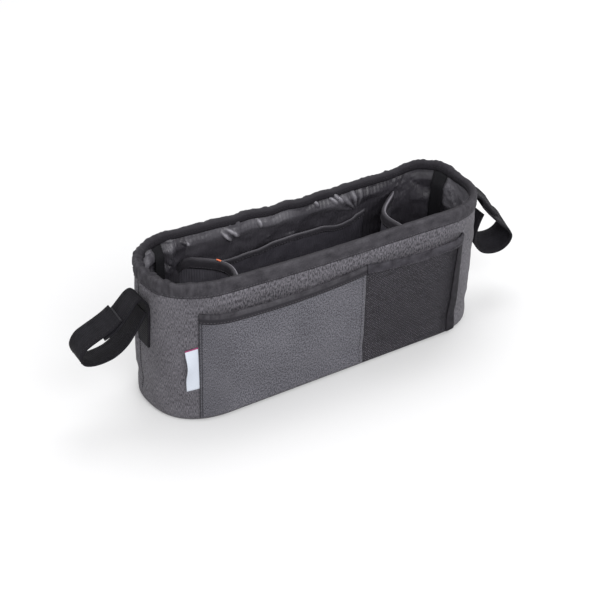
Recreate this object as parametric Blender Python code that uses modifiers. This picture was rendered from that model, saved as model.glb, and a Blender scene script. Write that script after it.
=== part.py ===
"""Stroller organizer: a soft open caddy with two cup bays, three pockets and two strap loops.

Units are metres. +Z is up, +X runs along the bag and -Y is the front. The origin is the middle of
the base, on the surface that the bag stands on. Layers of cloth lie a small gap apart.
"""
from math import acos, cos, exp, hypot, pi, radians, sin

import bmesh
import bpy
from mathutils import Euler, Vector

# Overall size, over the bound rim and at the foot of the wall
HEIGHT = 0.150
RIM_LENGTH = 0.3734
RIM_WIDTH = 0.1125
FOOT_LENGTH = 0.3740
FOOT_WIDTH = 0.1178
END_FULLNESS = 1.08
END_EXPONENT = 2.37

# The soft bag stands a little twisted: how its foot lies against its rim
FOOT_SHIFT_X = -0.0025
FOOT_SHIFT_Y = 0.0039
FOOT_TWIST = radians(1.94)

# How far the rim rides above its even height, by place round the outline
RIM_WAVE = (
    (0.0, 0.0000), (0.6, 0.0013), (1.4, -0.0026), (2.0, -0.0006), (3.0, 0.0010), (3.35, 0.0062),
    (3.6, 0.0058), (4.05, -0.0018), (4.45, -0.0026), (4.75, -0.0004), (5.1, 0.0022), (5.7, -0.0012), (6.0, 0.0000),
)

# Thicknesses of cloth, filling, tape and webbing, and the gap between pieces that touch
SHELL = 0.0010
FOAM = 0.0030
LINING = 0.0008
BOARD = 0.0020
DIVIDER = 0.0024
TAPE = 0.0009
WEBBING = 0.0020
HOOK = 0.0012
GAP = 0.0003

# Wall: turned hem at the foot, soft waist above the board, gathers along the back of the rim
HEM_RADIUS = 0.0045
HEM_LIFT = 0.0005
WAIST_DEPTH = 0.0016
WAIST_HEIGHT = 0.024
WAIST_SPREAD = 0.011
GATHER_DEPTH = 0.0017
GATHER_DIP = 0.0012
GATHER_COUNT = 6
GATHER_REACH = 0.042

# Rim tape: how far it reaches down outside and inside, and how far its fold stands up
RIM_TAPE_OUTSIDE = 0.0108
RIM_TAPE_INSIDE = 0.0050
RIM_CROWN = 0.0022

# Cup dividers: where the top edge meets the front and back walls, its bow and its drop below the rim
CUP_TAPE_HEIGHT = 0.0085
CUP_CROWN = 0.0012
CUP_DROP_FRONT = 0.0170
CUP_DROP_BACK = 0.0300
LEFT_CUP_FRONT = -0.106
LEFT_CUP_BACK = -0.122
LEFT_CUP_BOW = 0.017
RIGHT_CUP_FRONT = 0.084
RIGHT_CUP_BACK = 0.130
RIGHT_CUP_BOW = -0.018

# Front pockets
POCKET_FOOT = 0.0045
POCKET_DROP = 0.0310
POCKET_TAPE_HEIGHT = 0.0085
POCKET_CROWN = 0.0008
POCKET_BELLY = 0.0095
FABRIC_POCKET_LEFT = -0.1555
FABRIC_POCKET_RIGHT = 0.0275
MESH_POCKET_LEFT = 0.0300
MESH_POCKET_RIGHT = 0.1440
MESH = 0.0010
MESH_COLUMNS = 12
MESH_ROWS = 10
MESH_STRAND = 0.0019
MESH_RIDGE = 0.0004

# Pocket inside the back wall
INNER_POCKET_LEFT = -0.090
INNER_POCKET_RIGHT = 0.098
INNER_POCKET_FOOT = 0.014
INNER_POCKET_DROP = 0.0370
INNER_POCKET_HEM = 0.0070
INNER_POCKET_CROWN = 0.0006
INNER_POCKET_BELLY = 0.0110

# Side tag in the pocket's left seam, and the tapes over the lining's seams
TAG = 0.0008
TAG_WIDTH = 0.0145
TAG_LOW = 0.038
TAG_HIGH = 0.0835
TAG_CURL = 0.0016
TAG_DROOP = 0.0040
SEAM_TAPE_LEFT = -0.1494
SEAM_TAPE_RIGHT = 0.1818
SEAM_TAPE_WIDTH = 0.014
SEAM_TAPE_FOOT = 0.012

# Straps: routes of the middle of the band, as distance out from the end wall at that height, height,
# drop of the front edge and how far the front edge stands out, all in metres
STRAP_WIDTH = 0.0255
STRAP_SEWN = GAP + WEBBING / 2
LEFT_SHORT_ROUTE = (
    (STRAP_SEWN, 0.0680, 0, 0), (STRAP_SEWN, 0.0900, 0, 0), (STRAP_SEWN, 0.1130, 0, 0),
    (0.0030, 0.1210, 0, 0), (0.0080, 0.1265, 0, 0), (0.0138, 0.1252, 0, 0), (0.0200, 0.1186, 0.001, 0),
    (0.0275, 0.1105, 0.002, 0), (0.0370, 0.1037, 0.003, 0), (0.0480, 0.0992, 0.003, 0),
)
LEFT_LONG_ROUTE = (
    (0.0042, 0.1120, 0, 0), (0.0075, 0.1060, 0, 0), (0.0145, 0.0960, 0, 0), (0.0245, 0.0835, 0, 0),
    (0.0365, 0.0755, 0, 0), (0.0485, 0.0726, 0, 0), (0.0605, 0.0728, 0, 0), (0.0695, 0.0774, 0.001, 0),
    (0.0722, 0.0862, 0.002, 0), (0.0668, 0.0946, 0.003, 0), (0.0575, 0.0994, 0.003, 0),
    (0.0480, 0.1033, 0.003, 0), (0.0384, 0.1078, 0.003, 0), (0.0308, 0.1135, 0.002, 0),
)
RIGHT_SHORT_ROUTE = (
    (STRAP_SEWN, 0.0680, 0, 0), (STRAP_SEWN, 0.0900, 0, 0), (STRAP_SEWN, 0.1130, 0, 0),
    (0.0034, 0.1232, 0, 0), (0.0090, 0.1293, 0.001, 0), (0.0160, 0.1277, 0.003, 0),
    (0.0232, 0.1212, 0.005, 0), (0.0322, 0.1121, 0.007, 0), (0.0420, 0.1018, 0.007, 0),
)
RIGHT_LONG_ROUTE = (
    (0.0200, 0.1065, 0.004, 0.003), (0.0165, 0.0985, 0.004, 0.003), (0.0132, 0.0885, 0.005, 0.003),
    (0.0135, 0.0780, 0.006, 0.002), (0.0190, 0.0685, 0.007, 0.001), (0.0285, 0.0605, 0.007, 0),
    (0.0410, 0.0560, 0.007, 0), (0.0535, 0.0560, 0.007, 0), (0.0624, 0.0613, 0.007, 0),
    (0.0653, 0.0700, 0.007, 0), (0.0600, 0.0792, 0.007, 0), (0.0500, 0.0884, 0.007, 0),
    (0.0393, 0.0988, 0.007, 0), (0.0294, 0.1091, 0.007, 0), (0.0220, 0.1168, 0.006, 0),
)
ROUTE_STEPS = 3
HOOK_WIDTH = 0.0215

# Points along each quarter of a rounded end, the front straight and the gathered back straight
END_STEPS = 7
FRONT_STEPS = 4
BACK_STEPS = 20
DIVIDER_STEPS = 12
POCKET_STEPS = 14
HEM_STEPS = 3
TAG_STEPS = 4
FOLD_STEPS = 4

# How bows and bellies grow: powers of the sine across and of the share of the height
BOW_POWER = 1.5
BELLY_ACROSS = 0.8
BELLY_UP = 1.3

WALL = SHELL + GAP + FOAM + GAP + LINING
WALL_TOP = HEIGHT - TAPE - GAP - RIM_CROWN
BASE_STACK = SHELL + GAP + BOARD + GAP + LINING
WAIST_LOW = WAIST_HEIGHT - WAIST_SPREAD
WAIST_HIGH = WAIST_HEIGHT + 2 * WAIST_SPREAD
GATHER_START = HEIGHT - GATHER_REACH
WALL_LEVELS = (
    WAIST_LOW, WAIST_HEIGHT, WAIST_HIGH, (WAIST_HIGH + GATHER_START) / 2,
    GATHER_START, (GATHER_START + WALL_TOP) / 2, WALL_TOP,
)
POCKET_TOP = HEIGHT - POCKET_DROP
INNER_POCKET_TOP = HEIGHT - INNER_POCKET_DROP

COLORS = {
    "melange": (0.115, 0.110, 0.120), "tape": (0.052, 0.052, 0.056), "lining": (0.030, 0.029, 0.034),
    "foam": (0.22, 0.22, 0.22), "board": (0.05, 0.05, 0.05), "mesh": (0.020, 0.020, 0.023),
    "webbing": (0.014, 0.014, 0.016), "hook": (0.010, 0.010, 0.011), "tag": (0.80, 0.80, 0.80),
}
ROUGHNESS = {"lining": 0.45, "board": 0.55, "hook": 0.60}


def clear_scene():
    """Remove the objects that a new file starts with."""
    for item in list(bpy.data.objects):
        bpy.data.objects.remove(item)


def material(kind):
    """One Principled material for each kind of stuff, made when it is first needed."""
    found = bpy.data.materials.get(kind)
    if found:
        return found
    made = bpy.data.materials.new(kind)
    made.use_nodes = True
    shader = made.node_tree.nodes["Principled BSDF"]
    shader.inputs["Base Color"].default_value = (*COLORS[kind], 1.0)
    shader.inputs["Roughness"].default_value = ROUGHNESS.get(kind, 0.90)
    shader.inputs["Metallic"].default_value = 0.0
    return made


def add_object(name, bm, kind, collection, thickness=0.0, side=0.0):
    """Make a named object of a bmesh, with an even Solidify where a thickness is given."""
    mesh = bpy.data.meshes.new(name)
    bm.to_mesh(mesh)
    bm.free()
    mesh.materials.append(material(kind))
    mesh.shade_smooth()
    made = bpy.data.objects.new(name, mesh)
    collection.objects.link(made)
    if thickness:
        shell = made.modifiers.new("thickness", "SOLIDIFY")
        shell.thickness = thickness
        shell.offset = side
        shell.use_even_offset = True
    return made


def sheet(rows, closed=False):
    """A bmesh of quads lofted through rows of points, each row the same count."""
    bm = bmesh.new()
    grid = [[bm.verts.new(point) for point in row] for row in rows]
    count = len(grid[0])
    for low, high in zip(grid, grid[1:]):
        for i in range(count if closed else count - 1):
            j = (i + 1) % count
            bm.faces.new((low[i], low[j], high[j], high[i]))
    return bm


def clamp_share(value):
    """Limit a share to the range from 0 to 1."""
    return min(1.0, max(0.0, value))


def outline_point(u, length, width):
    """A point of the plan outline and its outward direction.

    u runs from 0 at the left tip along the front to 3 at the right tip, and back to 6 along the
    back. Each rounded quarter and each straight takes 1.
    """
    if u >= 3.0:
        x, y, nx, ny = outline_point(u - 3.0, length, width)
        return -x, -y, -nx, -ny
    half = width / 2
    reach = half * END_FULLNESS
    straight = length / 2 - reach
    if 1.0 <= u <= 2.0:
        return straight * (2.0 * u - 3.0), -half, 0.0, -1.0
    side = -1.0 if u < 1.0 else 1.0
    angle = (u if u < 1.0 else 3.0 - u) * pi / 2
    power = 2.0 / END_EXPONENT
    c = max(cos(angle), 0.0)
    s = max(sin(angle), 0.0)
    nx = c ** (2.0 - power) / reach
    ny = s ** (2.0 - power) / half
    size = hypot(nx, ny)
    return side * (straight + reach * c ** power), -half * s ** power, side * nx / size, -ny / size


def front_station(x):
    """The place along the outline of a point of the front at x, at the rim."""
    half = RIM_WIDTH / 2
    reach = half * END_FULLNESS
    straight = RIM_LENGTH / 2 - reach
    if abs(x) <= straight:
        return 1.5 + x / straight / 2
    angle = acos(clamp_share((abs(x) - straight) / reach) ** (END_EXPONENT / 2)) / (pi / 2)
    return angle if x < 0 else 3.0 - angle


def back_station(x):
    """The place along the outline of a point of the back at x, at the rim."""
    return 3.0 + front_station(-x)


def rim_wave(u):
    """How far the rim rides above its even height at a place, eased between the given ones."""
    for (low, before), (high, after) in zip(RIM_WAVE, RIM_WAVE[1:]):
        if low <= u <= high:
            ease = 0.5 - 0.5 * cos(pi * (u - low) / (high - low))
            return before + (after - before) * ease
    return 0.0


def wall_point(u, z, inset):
    """A point at a depth inside the wall's outer face, with its taper, twist, waist and gathers."""
    u = u % 6.0
    share = z / HEIGHT
    fold = 2 * (TAPE + GAP)
    length = FOOT_LENGTH + (RIM_LENGTH - fold - FOOT_LENGTH) * share
    width = FOOT_WIDTH + (RIM_WIDTH - fold - FOOT_WIDTH) * share
    x, y, nx, ny = outline_point(u, length, width)
    depth = inset + WAIST_DEPTH * exp(-((z - WAIST_HEIGHT) / WAIST_SPREAD) ** 2)
    along = u - 4.0
    lift = rim_wave(u) * share ** 2
    if 0.0 < along < 1.0:
        rise = clamp_share((z - GATHER_START) / (WALL_TOP - GATHER_START))
        scallop = sin(pi * along) ** 2 * (0.5 - 0.5 * cos(2 * pi * GATHER_COUNT * along)) * rise
        depth += GATHER_DEPTH * scallop
        lift -= GATHER_DIP * scallop
    point = Vector((x - nx * depth, y - ny * depth, z + lift))
    foot = clamp_share(1.0 - share)
    point.rotate(Euler((0.0, 0.0, FOOT_TWIST * foot)))
    return point + Vector((FOOT_SHIFT_X, FOOT_SHIFT_Y, 0.0)) * foot


def stations(start, end, steps):
    """Evenly spaced places from start to end, both included."""
    return [start + (end - start) * i / steps for i in range(steps + 1)]


def ring_stations():
    """Places all the way round, closer together on the ends and along the gathered back."""
    steps = (END_STEPS, FRONT_STEPS, END_STEPS, END_STEPS, BACK_STEPS, END_STEPS)
    return [u for i, count in enumerate(steps) for u in stations(i, i + 1, count)[:-1]]


def half_ring_stations(start):
    """Places along half the outline, from one end seam to the other."""
    middle = FRONT_STEPS if start == 0 else BACK_STEPS
    places = []
    for i, count in enumerate((END_STEPS, middle, END_STEPS)):
        places += stations(start + i, start + i + 1, count)[:-1]
    return places + [start + 3]


def hem_rows():
    """The turned foot of the wall: inset and height through a quarter round."""
    rows = []
    for step in range(HEM_STEPS + 1):
        angle = pi / 2 * (1 - step / HEM_STEPS)
        rows.append((HEM_RADIUS * (1 - cos(angle)), HEM_LIFT + HEM_RADIUS * (1 - sin(angle))))
    return rows


def outer_panel(name, start, collection):
    """Half of the outer cloth, between the two end seams, with its foot turned under."""
    places = half_ring_stations(start)
    rows = []
    for inset, z in hem_rows() + [(0.0, level) for level in WALL_LEVELS]:
        rows.append([wall_point(u, z, inset) for u in places])
    for row in rows:
        row[0] += (row[1] - row[0]).normalized() * GAP / 2
        row[-1] += (row[-2] - row[-1]).normalized() * GAP / 2
    return add_object(name, sheet(rows), "melange", collection, SHELL, -1.0)


def wall_layer(name, kind, inset, thickness, collection):
    """A layer of the wall all the way round, standing on the base."""
    foot = BASE_STACK + GAP
    rows = []
    for level in (foot, *WALL_LEVELS):
        rows.append([wall_point(u, level, inset) for u in ring_stations()])
    return add_object(name, sheet(rows, True), kind, collection, thickness, -1.0)


def base_layer(name, kind, low, thickness, inset, collection):
    """A flat layer of the base with the outline of the foot."""
    bm = bmesh.new()
    ring = [wall_point(u, 0.0, inset) for u in ring_stations()]
    bm.faces.new([bm.verts.new((p.x, p.y, low)) for p in ring])
    return add_object(name, bm, kind, collection, thickness, 1.0)


def folded_rows(near, far, low, high, crown, far_low=None):
    """Depths and heights of a tape's inner face, folded over an edge between two depths."""
    middle = (near + far) / 2
    half = (far - near) / 2 + GAP
    rows = [(middle - half, low)]
    for step in range(FOLD_STEPS + 1):
        angle = pi * step / FOLD_STEPS
        rows.append((middle - half * cos(angle), high + GAP + crown * sin(angle)))
    rows.append((middle + half, low if far_low is None else far_low))
    return rows


def folded_tape(name, kind, places, place, profile, closed, collection, thickness=TAPE, side=1.0):
    """Tape folded over an edge: its inner face lofted through a profile, then thickened."""
    rows = [[place(u, z, depth) for u in places] for depth, z in profile]
    return add_object(name, sheet(rows, closed), kind, collection, thickness, side)


def rim_binding(collection):
    """Tape folded over the top edge of the wall, all the way round."""
    outside = WALL_TOP - RIM_TAPE_OUTSIDE
    profile = folded_rows(0.0, WALL, outside, WALL_TOP, RIM_CROWN, WALL_TOP - RIM_TAPE_INSIDE)

    def place(u, z, depth):
        point = wall_point(u, min(z, WALL_TOP), depth)
        point.z += max(0.0, z - WALL_TOP)
        return point

    return folded_tape("rim_binding", "tape", ring_stations(), place, profile, True, collection)


class Divider:
    """A curved partition between the front and back walls, padded, with a bound top edge."""

    def __init__(self, front_x, back_x, bow):
        self.front = front_station(front_x)
        self.back = back_station(back_x)
        self.bow = bow
        lean = abs(back_x - front_x) + abs(bow) * sin(pi / DIVIDER_STEPS) ** BOW_POWER * DIVIDER_STEPS
        self.clear = WALL + 2 * GAP + (DIVIDER / 2 + GAP + TAPE) * lean / RIM_WIDTH

    def top(self, s):
        """Height of the padded panel's top edge at a share of the way from front to back."""
        return HEIGHT - CUP_DROP_FRONT - (CUP_DROP_BACK - CUP_DROP_FRONT) * s

    def middle(self, s, z):
        """A point of the panel's middle surface."""
        start = wall_point(self.front, z, self.clear)
        end = wall_point(self.back, z, self.clear)
        point = start.lerp(end, s)
        point.x += self.bow * sin(pi * s) ** BOW_POWER
        point.z = z
        return point

    def place(self, s, z, depth):
        """A point at a depth from the middle surface, towards +X."""
        step = 0.01
        tangent = self.middle(min(s + step, 1.0), z) - self.middle(max(s - step, 0.0), z)
        normal = Vector((tangent.y, -tangent.x, 0.0)).normalized()
        return self.middle(s, z) + normal * depth

    def build(self, side, collection):
        """The panel and its binding."""
        places = stations(0.0, 1.0, DIVIDER_STEPS)
        foot = BASE_STACK + GAP
        rows = []
        for share in (0.0, 0.2, 0.55, 1.0):
            rows.append([self.middle(s, foot + (self.top(s) - foot) * share) for s in places])
        add_object("cup_divider_" + side, sheet(rows), "lining", collection, DIVIDER, 0.0)

        def place(s, drop, depth):
            return self.place(s, self.top(s) + drop, depth)

        profile = folded_rows(-DIVIDER / 2, DIVIDER / 2, -CUP_TAPE_HEIGHT, 0.0, CUP_CROWN)
        return folded_tape("cup_binding_" + side, "tape", places, place, profile, False, collection, TAPE, -1.0)


class WallPocket:
    """A patch pocket on a wall: sewn at its sides and foot, with a bound top that stands off."""

    def __init__(self, places, foot, top, thickness, belly, cover, outward):
        self.places = places
        self.foot = foot
        self.top = top
        self.thickness = thickness
        self.belly = belly
        self.cover = cover
        self.outward = outward

    def stand_off(self, u, z):
        """Distance from the wall's face to the near face of the pocket's cloth."""
        across = (u - self.places[0]) / (self.places[-1] - self.places[0])
        up = clamp_share((z - self.foot) / (self.top - self.foot))
        rest = GAP + (self.cover + GAP) * up
        return rest + self.belly * max(0.0, sin(pi * across)) ** BELLY_ACROSS * up ** BELLY_UP

    def place(self, u, z, depth):
        """A point at a depth into the cloth, counted away from the wall."""
        away = self.stand_off(u, z) + depth
        inset = -away if self.outward else WALL + away
        return wall_point(u, z, inset)


def pocket_levels(foot, top, tape):
    """Heights of a pocket's rows: those of the wall behind it, and one where its tape ends."""
    return (foot, *WALL_LEVELS[1:4], top - tape, top)


def cloth_pocket(name, kind, pocket, tape, collection):
    """A plain pocket panel lofted up the wall."""
    levels = pocket_levels(pocket.foot, pocket.top, tape)
    rows = [[pocket.place(u, z, 0.0) for u in pocket.places] for z in levels]
    side = 1.0 if pocket.outward else -1.0
    return add_object(name, sheet(rows), kind, collection, pocket.thickness, side)


def pocket_tape(name, kind, pocket, tape, crown, collection):
    """Tape folded over the top edge of a pocket."""
    profile = folded_rows(0.0, pocket.thickness, pocket.top - tape, pocket.top, crown)

    def place(u, z, depth):
        point = pocket.place(u, min(z, pocket.top), depth)
        point.z += max(0.0, z - pocket.top)
        return point

    side = -1.0 if pocket.outward else 1.0
    return folded_tape(name, kind, pocket.places, place, profile, False, collection, TAPE, side)


def mesh_pocket(name, pocket, collection):
    """Net cloth: a grid of diamond gaps between ridged strands."""
    bm = bmesh.new()
    first = pocket.places[0]
    span = pocket.places[-1] - first
    rise = pocket.top - POCKET_TAPE_HEIGHT - pocket.foot

    def point(column, row, ridge):
        z = pocket.foot + rise * row / MESH_ROWS if row <= MESH_ROWS else pocket.top
        return pocket.place(first + span * column / MESH_COLUMNS, z, ridge)

    corners = {}
    for column in range(MESH_COLUMNS + 1):
        for row in range(MESH_ROWS + 2):
            corners[column, row] = bm.verts.new(point(column, row, MESH_RIDGE))
    wide = (MESH_POCKET_RIGHT - MESH_POCKET_LEFT) / MESH_COLUMNS
    hole_x = 0.5 - MESH_STRAND / wide / 2
    hole_z = 0.5 - MESH_STRAND / (rise / MESH_ROWS) / 2
    turns = ((0, -1), (1, 0), (0, 1), (-1, 0))
    for column in range(MESH_COLUMNS):
        edge = [corners[column, MESH_ROWS], corners[column + 1, MESH_ROWS]]
        edge += [corners[column + 1, MESH_ROWS + 1], corners[column, MESH_ROWS + 1]]
        bm.faces.new(edge)
        for row in range(MESH_ROWS):
            hole = []
            for right, up in turns:
                place = point(column + 0.5 + right * hole_x, row + 0.5 + up * hole_z, 0.0)
                hole.append(bm.verts.new(place))
            cell = [corners[column, row], corners[column + 1, row]]
            cell += [corners[column + 1, row + 1], corners[column, row + 1]]
            for i in range(4):
                bm.faces.new((cell[i], cell[(i + 1) % 4], hole[i]))
                bm.faces.new((cell[i], hole[i], hole[i - 1]))
    return add_object(name, bm, "mesh", collection, MESH, 1.0)


def side_tag(collection):
    """A blank folded tag sewn into the left seam of the front pocket."""
    start = front_station(FABRIC_POCKET_LEFT - 2 * GAP)
    end = front_station(FABRIC_POCKET_LEFT - TAG_WIDTH)
    rows = []
    for up in stations(0.0, 1.0, TAG_STEPS):
        row = []
        for share in stations(1.0, 0.0, TAG_STEPS - 1):
            z = TAG_LOW + (TAG_HIGH - TAG_LOW) * up - TAG_DROOP * share
            away = GAP + TAG_CURL * share ** 2
            row.append(wall_point(start + (end - start) * share, z, -away))
        rows.append(row)
    return add_object("side_tag", sheet(rows), "tag", collection, TAG, 1.0)


def seam_tape(name, x, collection):
    """Tape over a seam of the lining, inside a cup bay."""
    reach = SEAM_TAPE_WIDTH / RIM_WIDTH
    middle = back_station(x)
    rows = []
    top = WALL_TOP - RIM_TAPE_INSIDE - GAP
    for z in (SEAM_TAPE_FOOT, *WALL_LEVELS[1:-1], top):
        rows.append([wall_point(middle + reach * share, z, WALL + 2 * GAP) for share in (-1.0, 0.0, 1.0)])
    return add_object(name, sheet(rows), "tape", collection, TAPE, -1.0)


def smooth_route(route, steps):
    """Points along a smooth curve through a route's own points."""
    padded = [route[0], *route, route[-1]]
    points = []
    for a, b, c, d in zip(padded, padded[1:], padded[2:], padded[3:]):
        for step in range(steps):
            t = step / steps
            points.append(tuple(
                0.5 * (2 * q + (r - p) * t + (2 * p - 5 * q + 4 * r - s) * t ** 2
                       + (3 * q - p - 3 * r + s) * t ** 3)
                for p, q, r, s in zip(a, b, c, d)
            ))
    return points + [tuple(route[-1])]


def strap(name, kind, route, side, width, thickness, collection):
    """A flat band along a route beside an end of the bag."""
    front = []
    back = []
    share = width / STRAP_WIDTH / 2
    for out, z, drop, flare in smooth_route(route, ROUTE_STEPS):
        tip = wall_point(0.0 if side < 0 else 3.0, min(z, WALL_TOP), 0.0)
        front.append(Vector((tip.x + side * (out + flare * share), tip.y - width / 2, z - drop * share)))
        back.append(Vector((tip.x + side * (out - flare * share), tip.y + width / 2, z + drop * share)))
    return add_object(name, sheet([front, back]), kind, collection, thickness, 0.0)


def beside(route, distance):
    """A stretch of route moved sideways, away from the inside of the bend."""
    moved = []
    for i, (out, z, drop, flare) in enumerate(route):
        before = route[max(i - 1, 0)]
        after = route[min(i + 1, len(route) - 1)]
        along = Vector((after[0] - before[0], after[1] - before[1])).normalized()
        moved.append((out - along.y * distance, z + along.x * distance, drop, flare))
    return moved


def straps(collection):
    """Both strap loops, each a short and a long band with a hook patch between them."""
    step = WEBBING / 2 + GAP + HOOK / 2
    strap("strap_short_left", "webbing", LEFT_SHORT_ROUTE, -1, STRAP_WIDTH, WEBBING, collection)
    strap("strap_long_left", "webbing", LEFT_LONG_ROUTE, -1, STRAP_WIDTH, WEBBING, collection)
    strap("hook_patch_left", "hook", beside(LEFT_SHORT_ROUTE[-3:], step), -1, HOOK_WIDTH, HOOK, collection)
    strap("strap_short_right", "webbing", RIGHT_SHORT_ROUTE, 1, STRAP_WIDTH, WEBBING, collection)
    strap("strap_long_right", "webbing", RIGHT_LONG_ROUTE, 1, STRAP_WIDTH, WEBBING, collection)
    strap("hook_patch_right", "hook", beside(RIGHT_SHORT_ROUTE[-3:], -step), 1, HOOK_WIDTH, HOOK, collection)


def main():
    """Build every piece in one collection."""
    clear_scene()
    collection = bpy.data.collections.new("stroller_organizer")
    bpy.context.scene.collection.children.link(collection)
    outer_panel("outer_front_panel", 0, collection)
    outer_panel("outer_back_panel", 3, collection)
    wall_layer("wall_foam", "foam", SHELL + GAP, FOAM, collection)
    wall_layer("lining_wall", "lining", SHELL + GAP + FOAM + GAP, LINING, collection)
    base_layer("base_panel", "melange", 0.0, SHELL, HEM_RADIUS + GAP, collection)
    base_layer("base_board", "board", SHELL + GAP, BOARD, HEM_RADIUS + 2 * GAP, collection)
    base_layer("lining_base", "lining", SHELL + BOARD + 2 * GAP, LINING, HEM_RADIUS + 2 * GAP, collection)
    rim_binding(collection)
    Divider(LEFT_CUP_FRONT, LEFT_CUP_BACK, LEFT_CUP_BOW).build("left", collection)
    Divider(RIGHT_CUP_FRONT, RIGHT_CUP_BACK, RIGHT_CUP_BOW).build("right", collection)

    left = stations(front_station(FABRIC_POCKET_LEFT), front_station(FABRIC_POCKET_RIGHT), POCKET_STEPS)
    fabric = WallPocket(left, POCKET_FOOT, POCKET_TOP, SHELL, POCKET_BELLY, TAPE, True)
    cloth_pocket("fabric_pocket_panel", "melange", fabric, POCKET_TAPE_HEIGHT, collection)
    pocket_tape("fabric_pocket_binding", "tape", fabric, POCKET_TAPE_HEIGHT, POCKET_CROWN, collection)

    right = stations(front_station(MESH_POCKET_LEFT), front_station(MESH_POCKET_RIGHT), MESH_COLUMNS)
    net = WallPocket(right, POCKET_FOOT, POCKET_TOP, MESH + MESH_RIDGE, POCKET_BELLY, TAPE, True)
    mesh_pocket("mesh_pocket_panel", net, collection)
    pocket_tape("mesh_pocket_binding", "tape", net, POCKET_TAPE_HEIGHT, POCKET_CROWN, collection)

    inside = stations(back_station(INNER_POCKET_RIGHT), back_station(INNER_POCKET_LEFT), POCKET_STEPS)
    inner = WallPocket(inside, INNER_POCKET_FOOT, INNER_POCKET_TOP, LINING, INNER_POCKET_BELLY, TAPE, False)
    cloth_pocket("inner_back_pocket", "lining", inner, INNER_POCKET_HEM, collection)
    pocket_tape("inner_pocket_hem", "tape", inner, INNER_POCKET_HEM, INNER_POCKET_CROWN, collection)

    side_tag(collection)
    seam_tape("seam_tape_left", SEAM_TAPE_LEFT, collection)
    seam_tape("seam_tape_right", SEAM_TAPE_RIGHT, collection)
    straps(collection)


main()
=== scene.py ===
"""Looks of the stroller organizer: its cloth, padding, tapes, net, straps and stitching.

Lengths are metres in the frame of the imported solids: +X along the bag, -Y its front, +Z up. Each
piece is cut flat in metres and then laid on the bag, so its UV map is the flat cloth.
"""

import logging
from collections.abc import Callable, Sequence
from dataclasses import dataclass, field
from functools import partial
from math import acos, cos, exp, hypot, pi, radians, sin, tau

import bmesh
import bpy
import numpy as np
from mathutils import Euler, Matrix, Vector, noise


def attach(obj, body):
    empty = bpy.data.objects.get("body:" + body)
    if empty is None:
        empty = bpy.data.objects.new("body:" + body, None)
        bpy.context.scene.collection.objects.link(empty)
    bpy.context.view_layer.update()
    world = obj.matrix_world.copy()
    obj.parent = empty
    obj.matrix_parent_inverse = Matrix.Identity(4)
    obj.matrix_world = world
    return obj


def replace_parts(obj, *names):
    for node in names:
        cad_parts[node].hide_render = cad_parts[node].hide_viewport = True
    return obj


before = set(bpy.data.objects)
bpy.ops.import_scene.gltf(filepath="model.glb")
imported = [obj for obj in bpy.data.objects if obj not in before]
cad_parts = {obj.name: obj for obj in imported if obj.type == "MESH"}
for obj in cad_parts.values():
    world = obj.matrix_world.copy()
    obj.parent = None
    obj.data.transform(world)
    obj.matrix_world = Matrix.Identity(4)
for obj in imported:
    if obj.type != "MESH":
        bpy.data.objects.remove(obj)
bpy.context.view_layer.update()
LOG = logging.getLogger("stroller_organizer")

Place = Callable[[float, float, float], Vector]
Pair = tuple[float, float]
Triple = tuple[float, float, float]
Table = Sequence[tuple[float, ...]]
Node = bpy.types.Node
Add = Callable[..., Node]
Surface = dict[str, object]

# Thicknesses of the layers and the gap between pieces that touch
SHELL = 0.0010
FOAM = 0.0030
LINING = 0.0008
BOARD = 0.0020
DIVIDER = 0.0024
TAPE = 0.0009
WEBBING = 0.0020
HOOK = 0.0012
TAG = 0.0008
GAP = 0.0003
WALL = SHELL + GAP + FOAM + GAP + LINING
BASE_STACK = SHELL + GAP + BOARD + GAP + LINING
FOOT = BASE_STACK + GAP

# Measures that more than one piece needs: the outer cloth's seams are places round the outline, and
# the lining's seams, the cloth pocket's left side and the tag's seam are places along the bag
STRAP_WIDTH = 0.0255
HOOK_WIDTH = 0.0215
STITCH_LIFT = 0.0002
CLOTH_FOLD = 0.0012
SEAMS = (-0.10, 3.0)
LINING_SEAMS = (-0.1494, 0.1818)
POCKET_LEFT = -0.1555
TAG_SEAM = -0.1573


def clamp(value: float, low: float = 0.0, high: float = 1.0) -> float:
    """Limit a value to a range."""
    return min(high, max(low, value))


def bump(distance: float, width: float) -> float:
    """A smooth hump of height 1 at no distance, fading over a width."""
    return exp(-(distance / width) ** 2)


def ripple(x: float, y: float, z: float = 0.0) -> float:
    """Smooth noise between about -1 and 1."""
    return noise.noise(Vector((x, y, z)))


def crease(x: float, y: float, z: float = 0.0) -> float:
    """Noise with sharp ridges, 1 on a ridge and about 0 between them, as in crumpled cloth."""
    return 1.0 - min(1.0, 2.4 * abs(ripple(x, y, z)))


def eased(table: Table, at: float) -> float:
    """A value between the rows of a table, which it passes smoothly.

    Args:
        table: Rows of a place and its value.
        at: The place that is asked for.

    Returns:
        The value there.
    """
    for (low, before), (high, after) in zip(table, table[1:]):
        if at <= high:
            return before + (after - before) * (0.5 - 0.5 * cos(pi * clamp((at - low) / (high - low))))
    return table[-1][1]


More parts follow.
